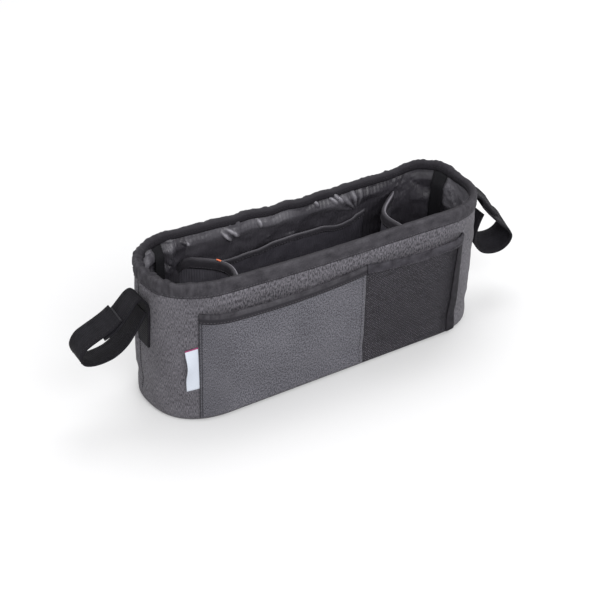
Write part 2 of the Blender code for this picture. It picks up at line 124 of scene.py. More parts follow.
@dataclass(frozen=True)
class Tub:
    """The shape of the wall, which every layer and pocket follows."""

    height: float = 0.150
    rim_length: float = 0.3734
    rim_width: float = 0.1125
    foot_length: float = 0.3740
    foot_width: float = 0.1178
    fullness: float = 1.08
    exponent: float = 2.37
    shift_x: float = -0.0025
    shift_y: float = 0.0039
    twist: float = radians(1.94)
    waist_depth: float = 0.0016
    waist_height: float = 0.024
    waist_spread: float = 0.011
    gather_depth: float = 0.0017
    gather_dip: float = 0.0012
    gather_count: int = 6
    gather_reach: float = 0.042
    rim_crown: float = 0.0022
    wave: Table = (
        (0.0, 0.0000), (0.6, 0.0013), (1.4, -0.0026), (2.0, -0.0006), (3.0, 0.0010), (3.35, 0.0062),
        (3.6, 0.0058), (4.05, -0.0018), (4.45, -0.0026), (4.75, -0.0004), (5.1, 0.0022), (5.7, -0.0012),
        (6.0, 0.0000),
    )

    @property
    def top(self) -> float:
        """Height of the wall's cut edge, under the rim tape."""
        return self.height - TAPE - GAP - self.rim_crown

    def outline(self, u: float, length: float, width: float) -> tuple[float, float, float, float]:
        """A point of the plan outline and its outward direction.

        Args:
            u: Place round the outline: 0 left tip, 1 to 2 front, 3 right tip, 4 to 5 back, 6 left tip.
            length: Length of the outline.
            width: Width of the outline.

        Returns:
            x, y and the outward direction's x and y.
        """
        if u >= 3.0:
            x, y, nx, ny = self.outline(u - 3.0, length, width)
            return -x, -y, -nx, -ny
        half = width / 2
        reach = half * self.fullness
        straight = length / 2 - reach
        if 1.0 <= u <= 2.0:
            return straight * (2.0 * u - 3.0), -half, 0.0, -1.0
        side = -1.0 if u < 1.0 else 1.0
        angle = (u if u < 1.0 else 3.0 - u) * pi / 2
        power = 2.0 / self.exponent
        c, s = max(cos(angle), 0.0), max(sin(angle), 0.0)
        nx, ny = c ** (2.0 - power) / reach, s ** (2.0 - power) / half
        size = hypot(nx, ny)
        return side * (straight + reach * c ** power), -half * s ** power, side * nx / size, -ny / size

    def front(self, x: float) -> float:
        """The place round the outline of a point of the front at x, at the rim."""
        reach = self.rim_width / 2 * self.fullness
        straight = self.rim_length / 2 - reach
        if abs(x) <= straight:
            return 1.5 + x / straight / 2
        angle = acos(clamp((abs(x) - straight) / reach) ** (self.exponent / 2)) / (pi / 2)
        return angle if x < 0 else 3.0 - angle

    def back(self, x: float) -> float:
        """The place round the outline of a point of the back at x, at the rim."""
        return 3.0 + self.front(-x)

    def point(self, u: float, z: float, inset: float) -> Vector:
        """A point at a depth inside the wall's outer face.

        Args:
            u: Place round the outline.
            z: Height before the rim's wave.
            inset: Depth inside the outer face; negative stands outside it.

        Returns:
            The point, with the wall's taper, twist, waist and gathers.
        """
        u = u % 6.0
        share = z / self.height
        fold = 2 * (TAPE + GAP)
        length = self.foot_length + (self.rim_length - fold - self.foot_length) * share
        width = self.foot_width + (self.rim_width - fold - self.foot_width) * share
        x, y, nx, ny = self.outline(u, length, width)
        depth = inset + self.waist_depth * bump(z - self.waist_height, self.waist_spread)
        along = u - 4.0
        lift = eased(self.wave, u) * share ** 2
        if 0.0 < along < 1.0:
            start = self.height - self.gather_reach
            up = clamp((z - start) / (self.top - start))
            scallop = sin(pi * along) ** 2 * (0.5 - 0.5 * cos(tau * self.gather_count * along)) * up
            depth += self.gather_depth * scallop
            lift -= self.gather_dip * scallop
        spot = Vector((x - nx * depth, y - ny * depth, z + lift))
        foot = clamp(1.0 - share)
        spot.rotate(Euler((0.0, 0.0, self.twist * foot)))
        return spot + Vector((self.shift_x, self.shift_y, 0.0)) * foot

    def length_at(self, z: float, start: float = 0.0, end: float = 6.0) -> float:
        """Length of cloth between two places at a height."""
        steps = max(12, int(60 * abs(end - start)))
        spots = [self.point(start + (end - start) * i / steps, z, 0.0) for i in range(steps + 1)]
        return sum((b - a).length for a, b in zip(spots, spots[1:]))


TUB = Tub()


def srgb(code: str) -> tuple[float, float, float, float]:
    """Turn an sRGB hex colour, such as "#6b696f", to linear red, green, blue and full alpha."""
    parts = [int(code[i:i + 2], 16) / 255 for i in (1, 3, 5)]
    linear = [c / 12.92 if c <= 0.04045 else ((c + 0.055) / 1.055) ** 2.4 for c in parts]
    return (*linear, 1.0)


def add_node(tree: bpy.types.NodeTree, kind: str, inputs: dict | None = None, **settings) -> Node:
    """Add a node with its settings and links.

    Args:
        tree: The node tree.
        kind: The node's type, after ShaderNode.
        inputs: Values, sockets, or nodes for their first output, by input name or number.
        **settings: Attributes of the node.

    Returns:
        The node.
    """
    node = tree.nodes.new("ShaderNode" + kind)
    for name, value in settings.items():
        setattr(node, name, value)
    for key, value in (inputs or {}).items():
        value = value.outputs[0] if isinstance(value, Node) else value
        if isinstance(value, bpy.types.NodeSocket):
            tree.links.new(value, node.inputs[key])
        else:
            node.inputs[key].default_value = value
    return node


def stretched(add: Add, cloth: Node, scale: Pair, **inputs: float) -> Node:
    """Noise with its own scale along and across the flat cloth."""
    mapped = add("Mapping", {"Vector": cloth, "Scale": (*scale, 1.0)})
    return add("TexNoise", {"Vector": mapped, "Scale": 1.0, **inputs})


def waves(add: Add, axis: object, pitch: float) -> Node:
    """A sine wave along an axis of the flat cloth, with a pitch in metres."""
    turns = add("Math", {0: axis, 1: tau / pitch}, operation="MULTIPLY")
    return add("Math", {0: turns}, operation="SINE")


def near_line(add: Add, axis: object, place: float, band: Pair, ends: Pair) -> Node:
    """A value that goes from one end on a line across the cloth to the other beside it.

    Args:
        add: Adds a node to the material.
        axis: The axis that the line crosses.
        place: Where the line is on it.
        band: How far from the line the value starts and stops changing.
        ends: The value on the line and beside it.

    Returns:
        The node that gives the value.
    """
    off = add("Math", {0: axis, 1: place}, operation="SUBTRACT")
    apart = add("Math", {0: off}, operation="ABSOLUTE")
    steps = dict(zip(("From Min", "From Max", "To Min", "To Max"), (*band, *ends)))
    return add("MapRange", {"Value": apart, **steps})


def tint(add: Add, surface: Surface, share: object, colour: str) -> Surface:
    """Lay another colour over a surface where a share says."""
    mix = add("Mix", {0: share, 6: surface["Base Color"], 7: srgb(colour)}, data_type="RGBA")
    return {**surface, "Base Color": mix.outputs[2]}


@dataclass(frozen=True)
class Finish:
    """What every finish shares: its shader, a slot name and the flat cloth's own map."""

    name: str
    slot: str
    colour: str
    shade: str
    roughness: float = 0.9
    specular: float = 0.3
    sheen: float = 0.0

    def material(self) -> bpy.types.Material:
        """The finish's material, made when it is first needed."""
        found = bpy.data.materials.get(self.name)
        if found:
            return found
        made = bpy.data.materials.new(self.name)
        made.use_nodes = True
        made.node_tree.nodes.clear()
        add = partial(add_node, made.node_tree)
        shader = add("BsdfPrincipled", {
            "Roughness": self.roughness, "Sheen Weight": self.sheen, "Sheen Roughness": 0.4,
            "Specular IOR Level": self.specular, **self.weave(add, add("UVMap", uv_map="cloth")),
        })
        add("OutputMaterial", {"Surface": shader})
        return made

    def weave(self, add: Add, cloth: Node) -> Surface:
        """The finish's colour, roughness and bump.

        Args:
            add: Adds a node to the material.
            cloth: The place on the flat cloth in metres.

        Returns:
            What goes into the shader, by input.
        """
        raise NotImplementedError

    def coat(self, add: Add, tone: Node, height: Node, depth: float, strength: float = 1.0) -> Surface:
        """A colour between the shade and the colour, and a bump.

        Args:
            add: Adds a node to the material.
            tone: 0 for the shade and 1 for the colour.
            height: Height of the surface, from 0 to 1.
            depth: How deep the bump is, in metres.
            strength: How much of the bump shows.

        Returns:
            What goes into the shader, by input.
        """
        colours = {6: srgb(self.shade), 7: srgb(self.colour)}
        mix = add("Mix", {0: tone, **colours}, data_type="RGBA", clamp_factor=True)
        relief = add("Bump", {"Height": height, "Distance": depth, "Strength": strength})
        return {"Base Color": mix.outputs[2], "Normal": relief}


@dataclass(frozen=True)
class Melange(Finish):
    """Polyester canvas woven from two tones of yarn.

    The mixed yarns give the eye short upright flecks on a fine plain weave. The weave is drawn at
    0.9 mm, about twice the real thread spacing, so that it shows.
    """

    fleck_wide: float = 0.0008
    fleck_long: float = 0.0036
    thread: float = 0.0009
    contrast: float = 1.0
    # Places across the cloth of thin lines painted darker: painted shade in the groove of each stitched seam
    seam_shade_lines: tuple[float, ...] = ()

    def weave(self, add: Add, cloth: Node) -> Surface:
        """Upright flecks, slow patches of tone, painted shade along the seams and a plain weave."""
        wide, long = self.fleck_wide, self.fleck_long
        flecks = stretched(add, cloth, (1 / wide, 1 / long), Detail=3.0, Roughness=0.6)
        weft = stretched(add, cloth, (0.4 / long, 0.8 / wide), Detail=2.0)
        patch = add("TexNoise", {"Vector": cloth, "Scale": 22.0, "Detail": 2.0})
        half = 0.16 / self.contrast
        sharp = add("MapRange", {"Value": flecks, "From Min": 0.5 - half, "From Max": 0.5 + half})
        both = add("Math", {0: weft, 1: 0.5, 2: sharp}, operation="MULTIPLY_ADD")
        slow = add("Math", {0: patch, 1: 0.3, 2: -0.27}, operation="MULTIPLY_ADD")
        tone = add("Math", {0: both, 1: 0.5, 2: slow}, operation="MULTIPLY_ADD")
        along, across = add("SeparateXYZ", {0: cloth}).outputs[:2]
        # Painted shade: the tone drops on each seam line, where the groove would lie in shade
        for place in self.seam_shade_lines:
            seam_shade = near_line(add, along, place, (0.0004, 0.0011), (-0.35, 1.0))
            tone = add("Math", {0: tone, 1: seam_shade}, operation="MULTIPLY")
        threads = {i: waves(add, axis, self.thread) for i, axis in enumerate((along, across))}
        cross = add("Math", threads, operation="MULTIPLY")
        height = add("Math", {0: cross, 1: 0.35, 2: flecks}, operation="MULTIPLY_ADD")
        return self.coat(add, tone, height, 0.0003)


@dataclass(frozen=True)
class Ribbed(Finish):
    """Nylon grosgrain tape, knitted net or polypropylene webbing.

    The thick filling threads give the eye fine ribs across the band, and its yarn a dull shine. A line
    along a fold can be painted: painted shade on the grosgrain's inner side and the net binding's top
    edge, and a painted highlight on the crowns of the divider binding and the pocket hem.
    rubbed or pressed line along a fold has its own colour.
    """

    rib: float = 0.0006
    across: float = 0.0022
    depth: float = 0.0003
    spread: float = 0.4
    weight: float = 0.15
    # Painted light along the fold: where across the tape it lies, its colour and how far it spreads
    fold: float = 0.0
    painted_light: str = "#808080"
    band: Pair = (0.0003, 0.0009)
    pucker: float = 0.0

    def weave(self, add: Add, cloth: Node) -> Surface:
        """Ribs across the band, lengthwise threads, uneven tone, puckers and the painted light along the
        fold.
        """
        along, across = add("SeparateXYZ", {0: cloth}).outputs[:2]
        grain = add("TexNoise", {"Vector": cloth, "Scale": 900.0, "Detail": 3.0})
        slow = add("TexNoise", {"Vector": cloth, "Scale": 130.0, "Detail": 2.0})
        ribs, rows = waves(add, along, self.rib), waves(add, across, self.across)
        cord = add("Math", {0: rows, 1: 0.4, 2: ribs}, operation="MULTIPLY_ADD")
        height = add("Math", {0: cord, 1: self.weight, 2: grain}, operation="MULTIPLY_ADD")
        if self.pucker:
            gathers = stretched(add, cloth, (190.0, 30.0), Detail=2.0)
            height = add("Math", {0: gathers, 1: self.pucker, 2: height}, operation="MULTIPLY_ADD")
        shade = add("Math", {0: grain, 1: 0.5, 2: slow}, operation="MULTIPLY_ADD")
        ends = {"From Min": 0.75 - self.spread, "From Max": 0.75 + self.spread}
        surface = self.coat(add, add("MapRange", {"Value": shade, **ends}), height, self.depth)
        # Painted light: near the fold line the colour turns to the given painted colour, darker for painted
        # shade and lighter for a painted highlight
        if not self.fold:
            return surface
        return tint(add, surface, near_line(add, across, self.fold, self.band, (1.0, 0.0)), self.painted_light)


@dataclass(frozen=True)
class Taffeta(Finish):
    """Coated polyester taffeta, calendered smooth.

    The coating gives the eye a soft shine that breaks up over small crumples and folds. A painted
    highlight lightens the roll under the rim and the crumpled ends, and the sharp folds most.
    """

    rib: float = 0.0026
    # Colour of the painted highlight on the roll, the sharp folds and the crumpled ends; empty for none
    painted_highlight: str = ""

    def weave(self, add: Add, cloth: Node) -> Surface:
        """A fine weave, ribs, small crumples, uneven gloss and the painted highlight on the folds."""
        crumple = add("TexNoise", {
            "Vector": cloth, "Scale": 70.0, "Detail": 4.0, "Roughness": 0.6, "Distortion": 0.6,
        })
        thread = add("TexNoise", {"Vector": cloth, "Scale": 1500.0, "Detail": 2.0})
        height = add("Math", {0: thread, 1: 0.12, 2: crumple}, operation="MULTIPLY_ADD")
        if self.rib:
            ribs = waves(add, add("SeparateXYZ", {0: cloth}), self.rib)
            height = add("Math", {0: ribs, 1: 0.16, 2: height}, operation="MULTIPLY_ADD")
        gloss = add("MapRange", {
            "Value": crumple, "From Min": 0.3, "From Max": 0.7,
            "To Min": self.roughness - 0.08, "To Max": self.roughness + 0.10,
        })
        surface = {**self.coat(add, crumple, height, 0.0012, 0.7), "Roughness": gloss}
        # Painted highlight: lighter where the lining's crumple step marked its vertex attribute "fold"
        if not self.painted_highlight:
            return surface
        return tint(add, surface, add("Attribute", attribute_name="fold").outputs["Fac"], self.painted_highlight)


@dataclass(frozen=True)
class Grain(Finish):
    """Foam, pile, board or thread: a surface that is grainy at one size.

    Its cells, hooks or fibres give the eye a fine speckle.
    """

    size: float = 0.0006
    depth: float = 0.0003

    def weave(self, add: Add, cloth: Node) -> Surface:
        """Cells of one size under a softer grain."""
        place = add("TexCoord").outputs["Object"]
        cells = add("TexVoronoi", {"Vector": place, "Scale": 1 / self.size})
        soft = add("TexNoise", {"Vector": place, "Scale": 0.2 / self.size, "Detail": 3.0})
        height = add("Math", {0: cells, 1: 0.7, 2: soft}, operation="MULTIPLY_ADD")
        return self.coat(add, height, height, self.depth)


@dataclass(frozen=True)
class Satin(Finish):
    """Woven satin ribbon, white with a dyed edge.

    Its long floats give the eye a clean soft shine with faint threads along it.
    """

    edge: str = "#86305c"
    edge_start: float = 0.0442

    def weave(self, add: Add, cloth: Node) -> Surface:
        """A white satin face and a thin dyed line along its top edge."""
        floats = stretched(add, cloth, (2500.0, 400.0), Detail=2.0)
        across = add("SeparateXYZ", {0: cloth}).outputs[1]
        dyed = add("Math", {0: across, 1: self.edge_start}, operation="GREATER_THAN")
        return tint(add, self.coat(add, floats, floats, 0.0002, 0.5), dyed, self.edge)


# The cloths, from the outside in
MELANGE = Melange("polyester_melange_canvas", "melange", "#9d9aa2", "#3b393e", 0.92, sheen=0.1, contrast=1.4)
# The pocket cloth has painted shade: two thin dark lines along its stitched left edge
POCKET_CLOTH = Melange("polyester_pocket_canvas", "melange", "#93929a", "#3c3b42", 0.90, sheen=0.1,
                       fleck_wide=0.0009, fleck_long=0.0018, contrast=1.6, seam_shade_lines=(0.0006, 0.0052))
NET = Ribbed("polyester_knit_net", "mesh", "#403e44", "#232126", 0.75, depth=0.0002, weight=0.35)
# The lining gets a painted highlight in a lighter colour on its roll, sharp folds and crumpled ends
TAFFETA = Taffeta("coated_taffeta_lining", "lining", "#424046", "#28262b", 0.38, 0.45, painted_highlight="#908e95")
PLAIN_TAFFETA = Taffeta("plain_taffeta_floor", "lining", "#444248", "#29272c", 0.42, 0.4, rib=0.0)
DIVIDER_TAFFETA = Taffeta("divider_taffeta", "lining", "#64626a", "#434148", 0.48, 0.45)
RIBBED_TAFFETA = Taffeta("ribbed_taffeta_pocket", "lining", "#525058", "#35333a", 0.48, 0.45)
SATIN = Satin("white_satin_ribbon", "tag", "#cfd5df", "#bcc2cd", 0.45, 0.4)

# The tapes and the webbing
# The grosgrain's inner side, past the crown, is painted darker: painted shade from the inside of the bag
GROSGRAIN = Ribbed("nylon_grosgrain_tape", "tape", "#4c4a4f", "#201e23", 0.70, 0.2, spread=0.36,
                   fold=0.0196, painted_light="#29272c", band=(0.0045, 0.0062), pucker=2.5)
# A thin dark line along the net binding's top edge: painted shade for the gap's shadow
NET_TAPE = Ribbed("nylon_net_binding", "tape", "#4a484e", "#1f1d22", 0.75, 0.15, spread=0.3, fold=0.0085,
                  painted_light="#28262b")
NET_EDGE = Ribbed("nylon_net_edging", "tape", "#2e2c31", "#1a181c", 0.75, 0.15, spread=0.22)
# A thin light line along the divider binding's crown: a painted highlight
CUP_TAPE = Ribbed("nylon_divider_binding", "tape", "#3e3c41", "#29272c", 0.60, 0.25, fold=0.0116,
                  painted_light="#77747b")
# A thin light line along the hem's crown: a painted highlight
SATIN_HEM = Ribbed("nylon_pocket_hem", "tape", "#3f3d43", "#2c2a2f", 0.55, 0.3, fold=0.0062, painted_light="#626066",
                   band=(0.0002, 0.0006))
BLACK_TAPE = Ribbed("black_seam_tape", "tape", "#1b1a1e", "#101013", 0.75, 0.2, rib=0.0008)
WEB = Ribbed("polypropylene_webbing", "webbing", "#222126", "#0e0d11", 0.70, 0.15, rib=0.0014,
             across=0.0030, depth=0.0005, weight=0.35)

# The filling, the board, the hook pile and the threads
FOAM_FINISH = Grain("polyurethane_foam", "foam", "#8d8d8b", "#6a6a68", 0.95, size=0.0012)
BOARD_FINISH = Grain("polyethylene_board", "board", "#2c2c2e", "#1d1d1f", 0.5, size=0.0030, depth=0.0001)
HOOK_FINISH = Grain("nylon_hook_tape", "hook", "#26262a", "#0e0e10", 0.55, size=0.0009, depth=0.0005)
THREAD = Grain("polyester_thread", "tape", "#5a585d", "#3c3a3f", 0.6)
DARK_THREAD = Grain("dark_polyester_thread", "tape", "#2c2b2f", "#1c1b1e", 0.6)
BLACK_THREAD = Grain("black_polyester_thread", "webbing", "#242327", "#151417", 0.6)
RED_THREAD = Grain("orange_bartack_thread", "tape", "#e07850", "#b04428", 0.6)


def piece(name: str, bm: bmesh.types.BMesh, finish: Finish, thickness: float = 0.0,
          side: float = 0.0) -> bpy.types.Object:
    """Make a dressed object of a bmesh that rides on the bag.

    Args:
        name: The piece's name.
        bm: Its mesh, which is freed.
        finish: Its finish.
        thickness: Thickness of the cloth, or 0 for a mesh that is already solid.
        side: Which side of the mesh the thickness goes: -1 inwards, 1 outwards, 0 both.

    Returns:
        The object.
    """
    mesh = bpy.data.meshes.new(name)
    bm.to_mesh(mesh)
    bm.free()
    mesh.materials.append(finish.material())
    mesh.shade_smooth()
    made = bpy.data.objects.new(name, mesh)
    bpy.context.scene.collection.objects.link(made)
    if thickness:
        shell = made.modifiers.new("thickness", "SOLIDIFY")
        shell.thickness = thickness
        shell.offset = side
    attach(made, "root")
    LOG.info("%s: %d faces", name, len(mesh.polygons))
    return made


@dataclass
class Cut:
    """A rectangle of cloth, cut flat in metres and laid on the bag."""

    name: str
    wide: float
    long: float
    place: Place
    finish: Finish
    cells: tuple[int, int]
    thickness: float = 0.0
    side: float = 0.0
    ring: bool = False

    def flat(self) -> bmesh.types.BMesh:
        """The flat cloth in its cells, with its UV map in metres."""
        bm = bmesh.new()
        bmesh.ops.create_grid(bm, x_segments=self.cells[0], y_segments=self.cells[1], size=0.5)
        bmesh.ops.translate(bm, verts=bm.verts, vec=(0.5, 0.5, 0.0))
        bmesh.ops.scale(bm, verts=bm.verts, vec=(self.wide, self.long, 1.0))
        self.map_cloth(bm)
        return bm

    def map_cloth(self, bm: bmesh.types.BMesh) -> None:
        """Write each corner's flat place to the UV map."""
        cloth = bm.loops.layers.uv.get("cloth") or bm.loops.layers.uv.new("cloth")
        for face in bm.faces:
            for loop in face.loops:
                loop[cloth].uv = loop.vert.co.xy

    def lay(self, bm: bmesh.types.BMesh | None = None) -> bpy.types.Object:
        """Lay the cut on the bag and make its object.

        Args:
            bm: The flat cloth, if it isn't the plain one.

        Returns:
            The piece's object.
        """
        bm = bm or self.flat()
        for vert in bm.verts:
            vert.co = self.place(vert.co.x / self.wide, vert.co.y / self.long, vert.co.z)
        if self.ring:
            bmesh.ops.remove_doubles(bm, verts=bm.verts, dist=1e-5)
        return piece(self.name, bm, self.finish, self.thickness, self.side)

    def sheet(self, node: str = "", bm: bmesh.types.BMesh | None = None) -> None:
        """Args:
            node: The node that it stands for, if it has one.
            bm: The flat cloth, if it isn't the plain one.
        """
        made = self.lay(bm)
        if node:
            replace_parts(made, node)


@dataclass(frozen=True)
class Slump:
    """A short cloth simulation that lets slack cloth buckle, kept to one side and within a cap."""

    slack: float
    cap: float
    side: int
    frames: int = 16
    settings: tuple[tuple[str, float], ...] = (
        ("quality", 4), ("mass", 0.05), ("tension_stiffness", 12.0), ("compression_stiffness", 12.0),
        ("shear_stiffness", 4.0), ("bending_stiffness", 0.08),
    )

    def settle(self, made: bpy.types.Object, held: Callable[[Vector], float]) -> None:
        """Simulate a piece's cloth and write where it settles to its mesh.

        Args:
            made: The piece.
            held: How firmly the cloth is sewn down at a point, from 0 to 1.
        """
        scene = bpy.context.scene
        mesh = made.data.copy()
        cloth = bpy.data.objects.new(made.name + "_slump", mesh)
        scene.collection.objects.link(cloth)
        sewn = cloth.vertex_groups.new(name="sewn")
        for vert in mesh.vertices:
            sewn.add([vert.index], held(vert.co), "REPLACE")
        run = cloth.modifiers.new("slump", "CLOTH")
        for name, value in self.settings:
            setattr(run.settings, name, value)
        run.settings.vertex_group_mass = "sewn"
        run.settings.shrink_min = -self.slack
        run.settings.effector_weights.gravity = 0.0
        run.collision_settings.use_collision = False
        run.point_cache.frame_start = 1
        run.point_cache.frame_end = self.frames
        for frame_number in range(1, self.frames + 1):
            scene.frame_set(frame_number)
        start, normal, end = (np.zeros(3 * len(mesh.vertices)) for _ in range(3))
        mesh.vertices.foreach_get("co", start)
        mesh.vertex_normals.foreach_get("vector", normal)
        cloth.evaluated_get(bpy.context.evaluated_depsgraph_get()).data.vertices.foreach_get("co", end)
        start, normal, end = (values.reshape(-1, 3) for values in (start, normal, end))
        moved = end - start
        off = (moved * normal).sum(axis=1, keepdims=True)
        slide = moved - off * normal
        slide *= np.minimum(1.0, 0.5 * self.cap / (np.linalg.norm(slide, axis=1, keepdims=True) + 1e-9))
        off = self.cap * np.tanh(np.maximum(off * self.side, 0.0) / self.cap) * self.side
        made.data.vertices.foreach_set("co", (start + slide + off * normal).ravel())
        made.data.update()
        bpy.data.objects.remove(cloth)
        scene.frame_set(1)
        LOG.info("%s: settled, %.1f mm at most", made.name, 1000 * float(np.abs(off).max()))


@dataclass
class Stitching:
    """Rows of stitches sewn along lines, gathered in one piece."""

    name: str
    finish: Finish = THREAD
    pitch: float = 0.0032
    long: float = 0.0023
    wide: float = 0.0006
    high: float = 0.0004
    spots: list[Matrix] = field(default_factory=list)

    def sew(self, line: Callable[[float], Vector], steps: int = 200) -> "Stitching":
        """Sew along a line.

        Args:
            line: Gives a point for each share of the way.
            steps: How finely the line is walked.

        Returns:
            The stitching itself.
        """
        spots = [line(i / steps) for i in range(steps + 1)]
        total = sum((b - a).length for a, b in zip(spots, spots[1:]))
        reach = total / max(1, round(total / self.pitch))
        walked, due = 0.0, reach / 2
        for a, b in zip(spots, spots[1:]):
            step = (b - a).length
            while step and due <= walked + step and due < total:
                self.lay(a.lerp(b, (due - walked) / step), (b - a).normalized())
                due += reach
            walked += step
        return self

    def lay(self, spot: Vector, along: Vector) -> None:
        """Note one stitch at a spot, lying along a direction."""
        matrix = Matrix.Translation(spot) @ along.to_track_quat("X", "Z").to_matrix().to_4x4()
        self.spots.append(matrix @ Matrix.Diagonal((self.long / 2, self.wide / 2, self.high / 2, 1.0)))

    def finish_off(self) -> None:
        """Copy one round stitch to every noted spot and make them one object."""
        bm = bmesh.new()
        bmesh.ops.create_uvsphere(bm, u_segments=6, v_segments=4, radius=1.0)
        first = [vert.co.copy() for vert in bm.verts]
        blocks = [list(bm.verts)]
        while len(blocks) < len(self.spots):
            wanted = blocks[:len(self.spots) - len(blocks)]
            chosen = {vert for block in wanted for vert in block}
            faces = [face for face in bm.faces if face.verts[0] in chosen]
            edges = [edge for edge in bm.edges if edge.verts[0] in chosen]
            copied = bmesh.ops.duplicate(bm, geom=list(chosen) + edges + faces)["vert_map"]
            blocks += [[copied[vert] for vert in block] for block in wanted]
        for block, matrix in zip(blocks, self.spots):
            for vert, start in zip(block, first):
                vert.co = matrix @ start
        piece(self.name, bm, self.finish)


@dataclass
class Wall:
    """The bag's side: two outer panels, foam and lining, all between the base and the rim."""

    hem: float = 0.0045
    hem_lift: float = 0.0005
    hem_share: float = 0.06
    fine_above: float = 0.107
    folds: Table = (
        (-0.0745, 0.1345, -0.0640, 0.1235), (-0.0700, 0.1375, -0.0560, 0.1270),
        (-0.0330, 0.1385, -0.0305, 0.1300), (0.0335, 0.1400, 0.0375, 0.1340),
        (0.0520, 0.1390, 0.0600, 0.1310), (0.0580, 0.1410, 0.0670, 0.1300),
        (-0.1200, 0.1380, -0.1120, 0.1330),
    )

    def outer_place(self, start: float, end: float) -> Place:
        """How half of the outer cloth lies, with its foot turned under and soft creases.

        Args:
            start: Where it starts round the outline.
            end: Where it ends.

        Returns:
            The place of each point of the cloth.
        """
        foot = self.hem + self.hem_lift

        def place(s: float, t: float, away: float) -> Vector:
            """A point of the cloth, round the turned hem first and then up the wall."""
            u = start + (end - start) * s
            if t < self.hem_share:
                angle = pi / 2 * (1 - t / self.hem_share)
                inset = self.hem * (1 - cos(angle))
                return TUB.point(u, self.hem_lift + self.hem * (1 - sin(angle)), inset - away)
            z = foot + (TUB.top - foot) * (t - self.hem_share) / (1 - self.hem_share)
            x, y, _ = TUB.point(u, z, 0.0)
            relief = 0.0011 * max(0.0, ripple(x * 22, y * 22, z * 34) + 0.25)
            relief += 0.0006 * crease(x * 30, y * 30, z * 45 + 7)
            left, right = bump(min(u % 6.0, 6.0 - u % 6.0), 0.9), bump(u - 2.75, 0.45)
            relief += 0.0022 * left * max(0.0, ripple(x * 40, y * 46, z * 16 + 2))
            relief += 0.0030 * right * max(0.0, ripple(x * 30, y * 50, z * 55 + 8))
            free = clamp((z - foot) / 0.02) * clamp((TUB.top - z) / 0.012) * clamp(min(s, 1 - s) * 3.0 / 0.08)
            return TUB.point(u, z, -relief * free - away)
        return place

    def lining_place(self) -> Place:
        """How the lining hangs: a soft roll under the rim, and crumples that stand into the bag."""
        def place(s: float, t: float, away: float) -> Vector:
            """A point of the lining round and up the wall."""
            u, z, inset = 6.0 * s, FOOT + (TUB.top - FOOT) * t, WALL - LINING
            x, y, _ = TUB.point(u, z, inset)
            free = clamp((z - FOOT) / 0.012) * clamp((TUB.top - 0.004 - z) / 0.010)
            behind = clamp((u - 3.1) / 0.4) * clamp((6.0 - u) / 0.3)
            slack = 0.0012 * crease(x * 24, y * 24, z * 38)
            slack += 0.0008 * crease(x * 55 + 3, y * 55, z * 70)
            slack += 0.0008 * (0.5 + 0.5 * ripple(x * 12, y * 12, z * 30 + 5))
            slack += 0.0036 * behind * bump(z - 0.1335, 0.0075) * (0.7 + 0.5 * ripple(x * 30, 0.0, 9.0))
            return TUB.point(u, z, inset + slack * free)
        return place

    def crumple(self, lining: bpy.types.Object) -> None:
        """Cut the upper lining finer, press folds and crumples into it and mark where its painted highlight
        goes.

        Args:
            lining: The lining, which has settled.
        """
        bm = bmesh.new()
        bm.from_mesh(lining.data)
        low, edge = self.fine_above, TUB.top - 0.002
        fine = [e for e in bm.edges if all(v.co.z > low and v.co.y > -0.02 for v in e.verts)]
        bmesh.ops.subdivide_edges(bm, edges=fine, cuts=3, use_grid_fill=True)
        bm.normal_update()
        # Painted highlight: a share for each vertex, from 0 to 1, that the finish paints lighter, kept in the
        # layer "fold"
        painted_highlight = bm.verts.layers.float.new("fold")
        tapes = [TUB.point(TUB.back(x), 0.12, WALL) for x in LINING_SEAMS]
        folded = []
        for vert in bm.verts:
            x, y, z = vert.co
            if z < low:
                continue
            free = clamp((z - low) / 0.006) * clamp((edge - z) / 0.003)
            height = self.pulls(x, z) if y > 0.02 and abs(x) < 0.125 else 0.0
            side = clamp((0.085 - x) / 0.02) if y > 0.02 else 0.4
            # Painted highlight on the soft roll under the rim, in blotches, and on the sharp folds
            blotch = clamp(0.55 + 0.9 * ripple(x * 20, y * 20, z * 40 + 3))
            roll = 0.33 * clamp((z - 0.119) / 0.012) * blotch * side
            vert[painted_highlight] = clamp(roll + 0.75 * clamp(height / 0.0026 - 0.15)) * free
            near = min(hypot(x - tape.x, y - tape.y) for tape in tapes)
            rough = clamp((near - 0.006) / 0.006) * clamp((abs(x) - 0.115) / 0.02)
            if x < -0.115:
                lump = crease(x * 38, y * 38, z * 42 + 11)
                height += rough * (0.0034 * lump + 0.0016 * crease(x * 85, y * 85, z * 90 + 4))
                # Painted highlight on the crumples at the left end
                vert[painted_highlight] = 0.3 * rough * free * clamp((z - 0.124) / 0.01) * lump
            elif x > 0.15:
                height += 0.0012 * rough * crease(x * 30, y * 30, z * 26 + 11)
                # Painted highlight in patches on the crumples at the right end
                vert[painted_highlight] = 0.26 * rough * free * clamp((x - 0.165) / 0.01) * (0.5 + blotch)
            folded.append((vert, vert.co - vert.normal * height * free))
        for vert, spot in folded:
            vert.co = spot
        bm.to_mesh(lining.data)
        bm.free()
        lining.data.update()

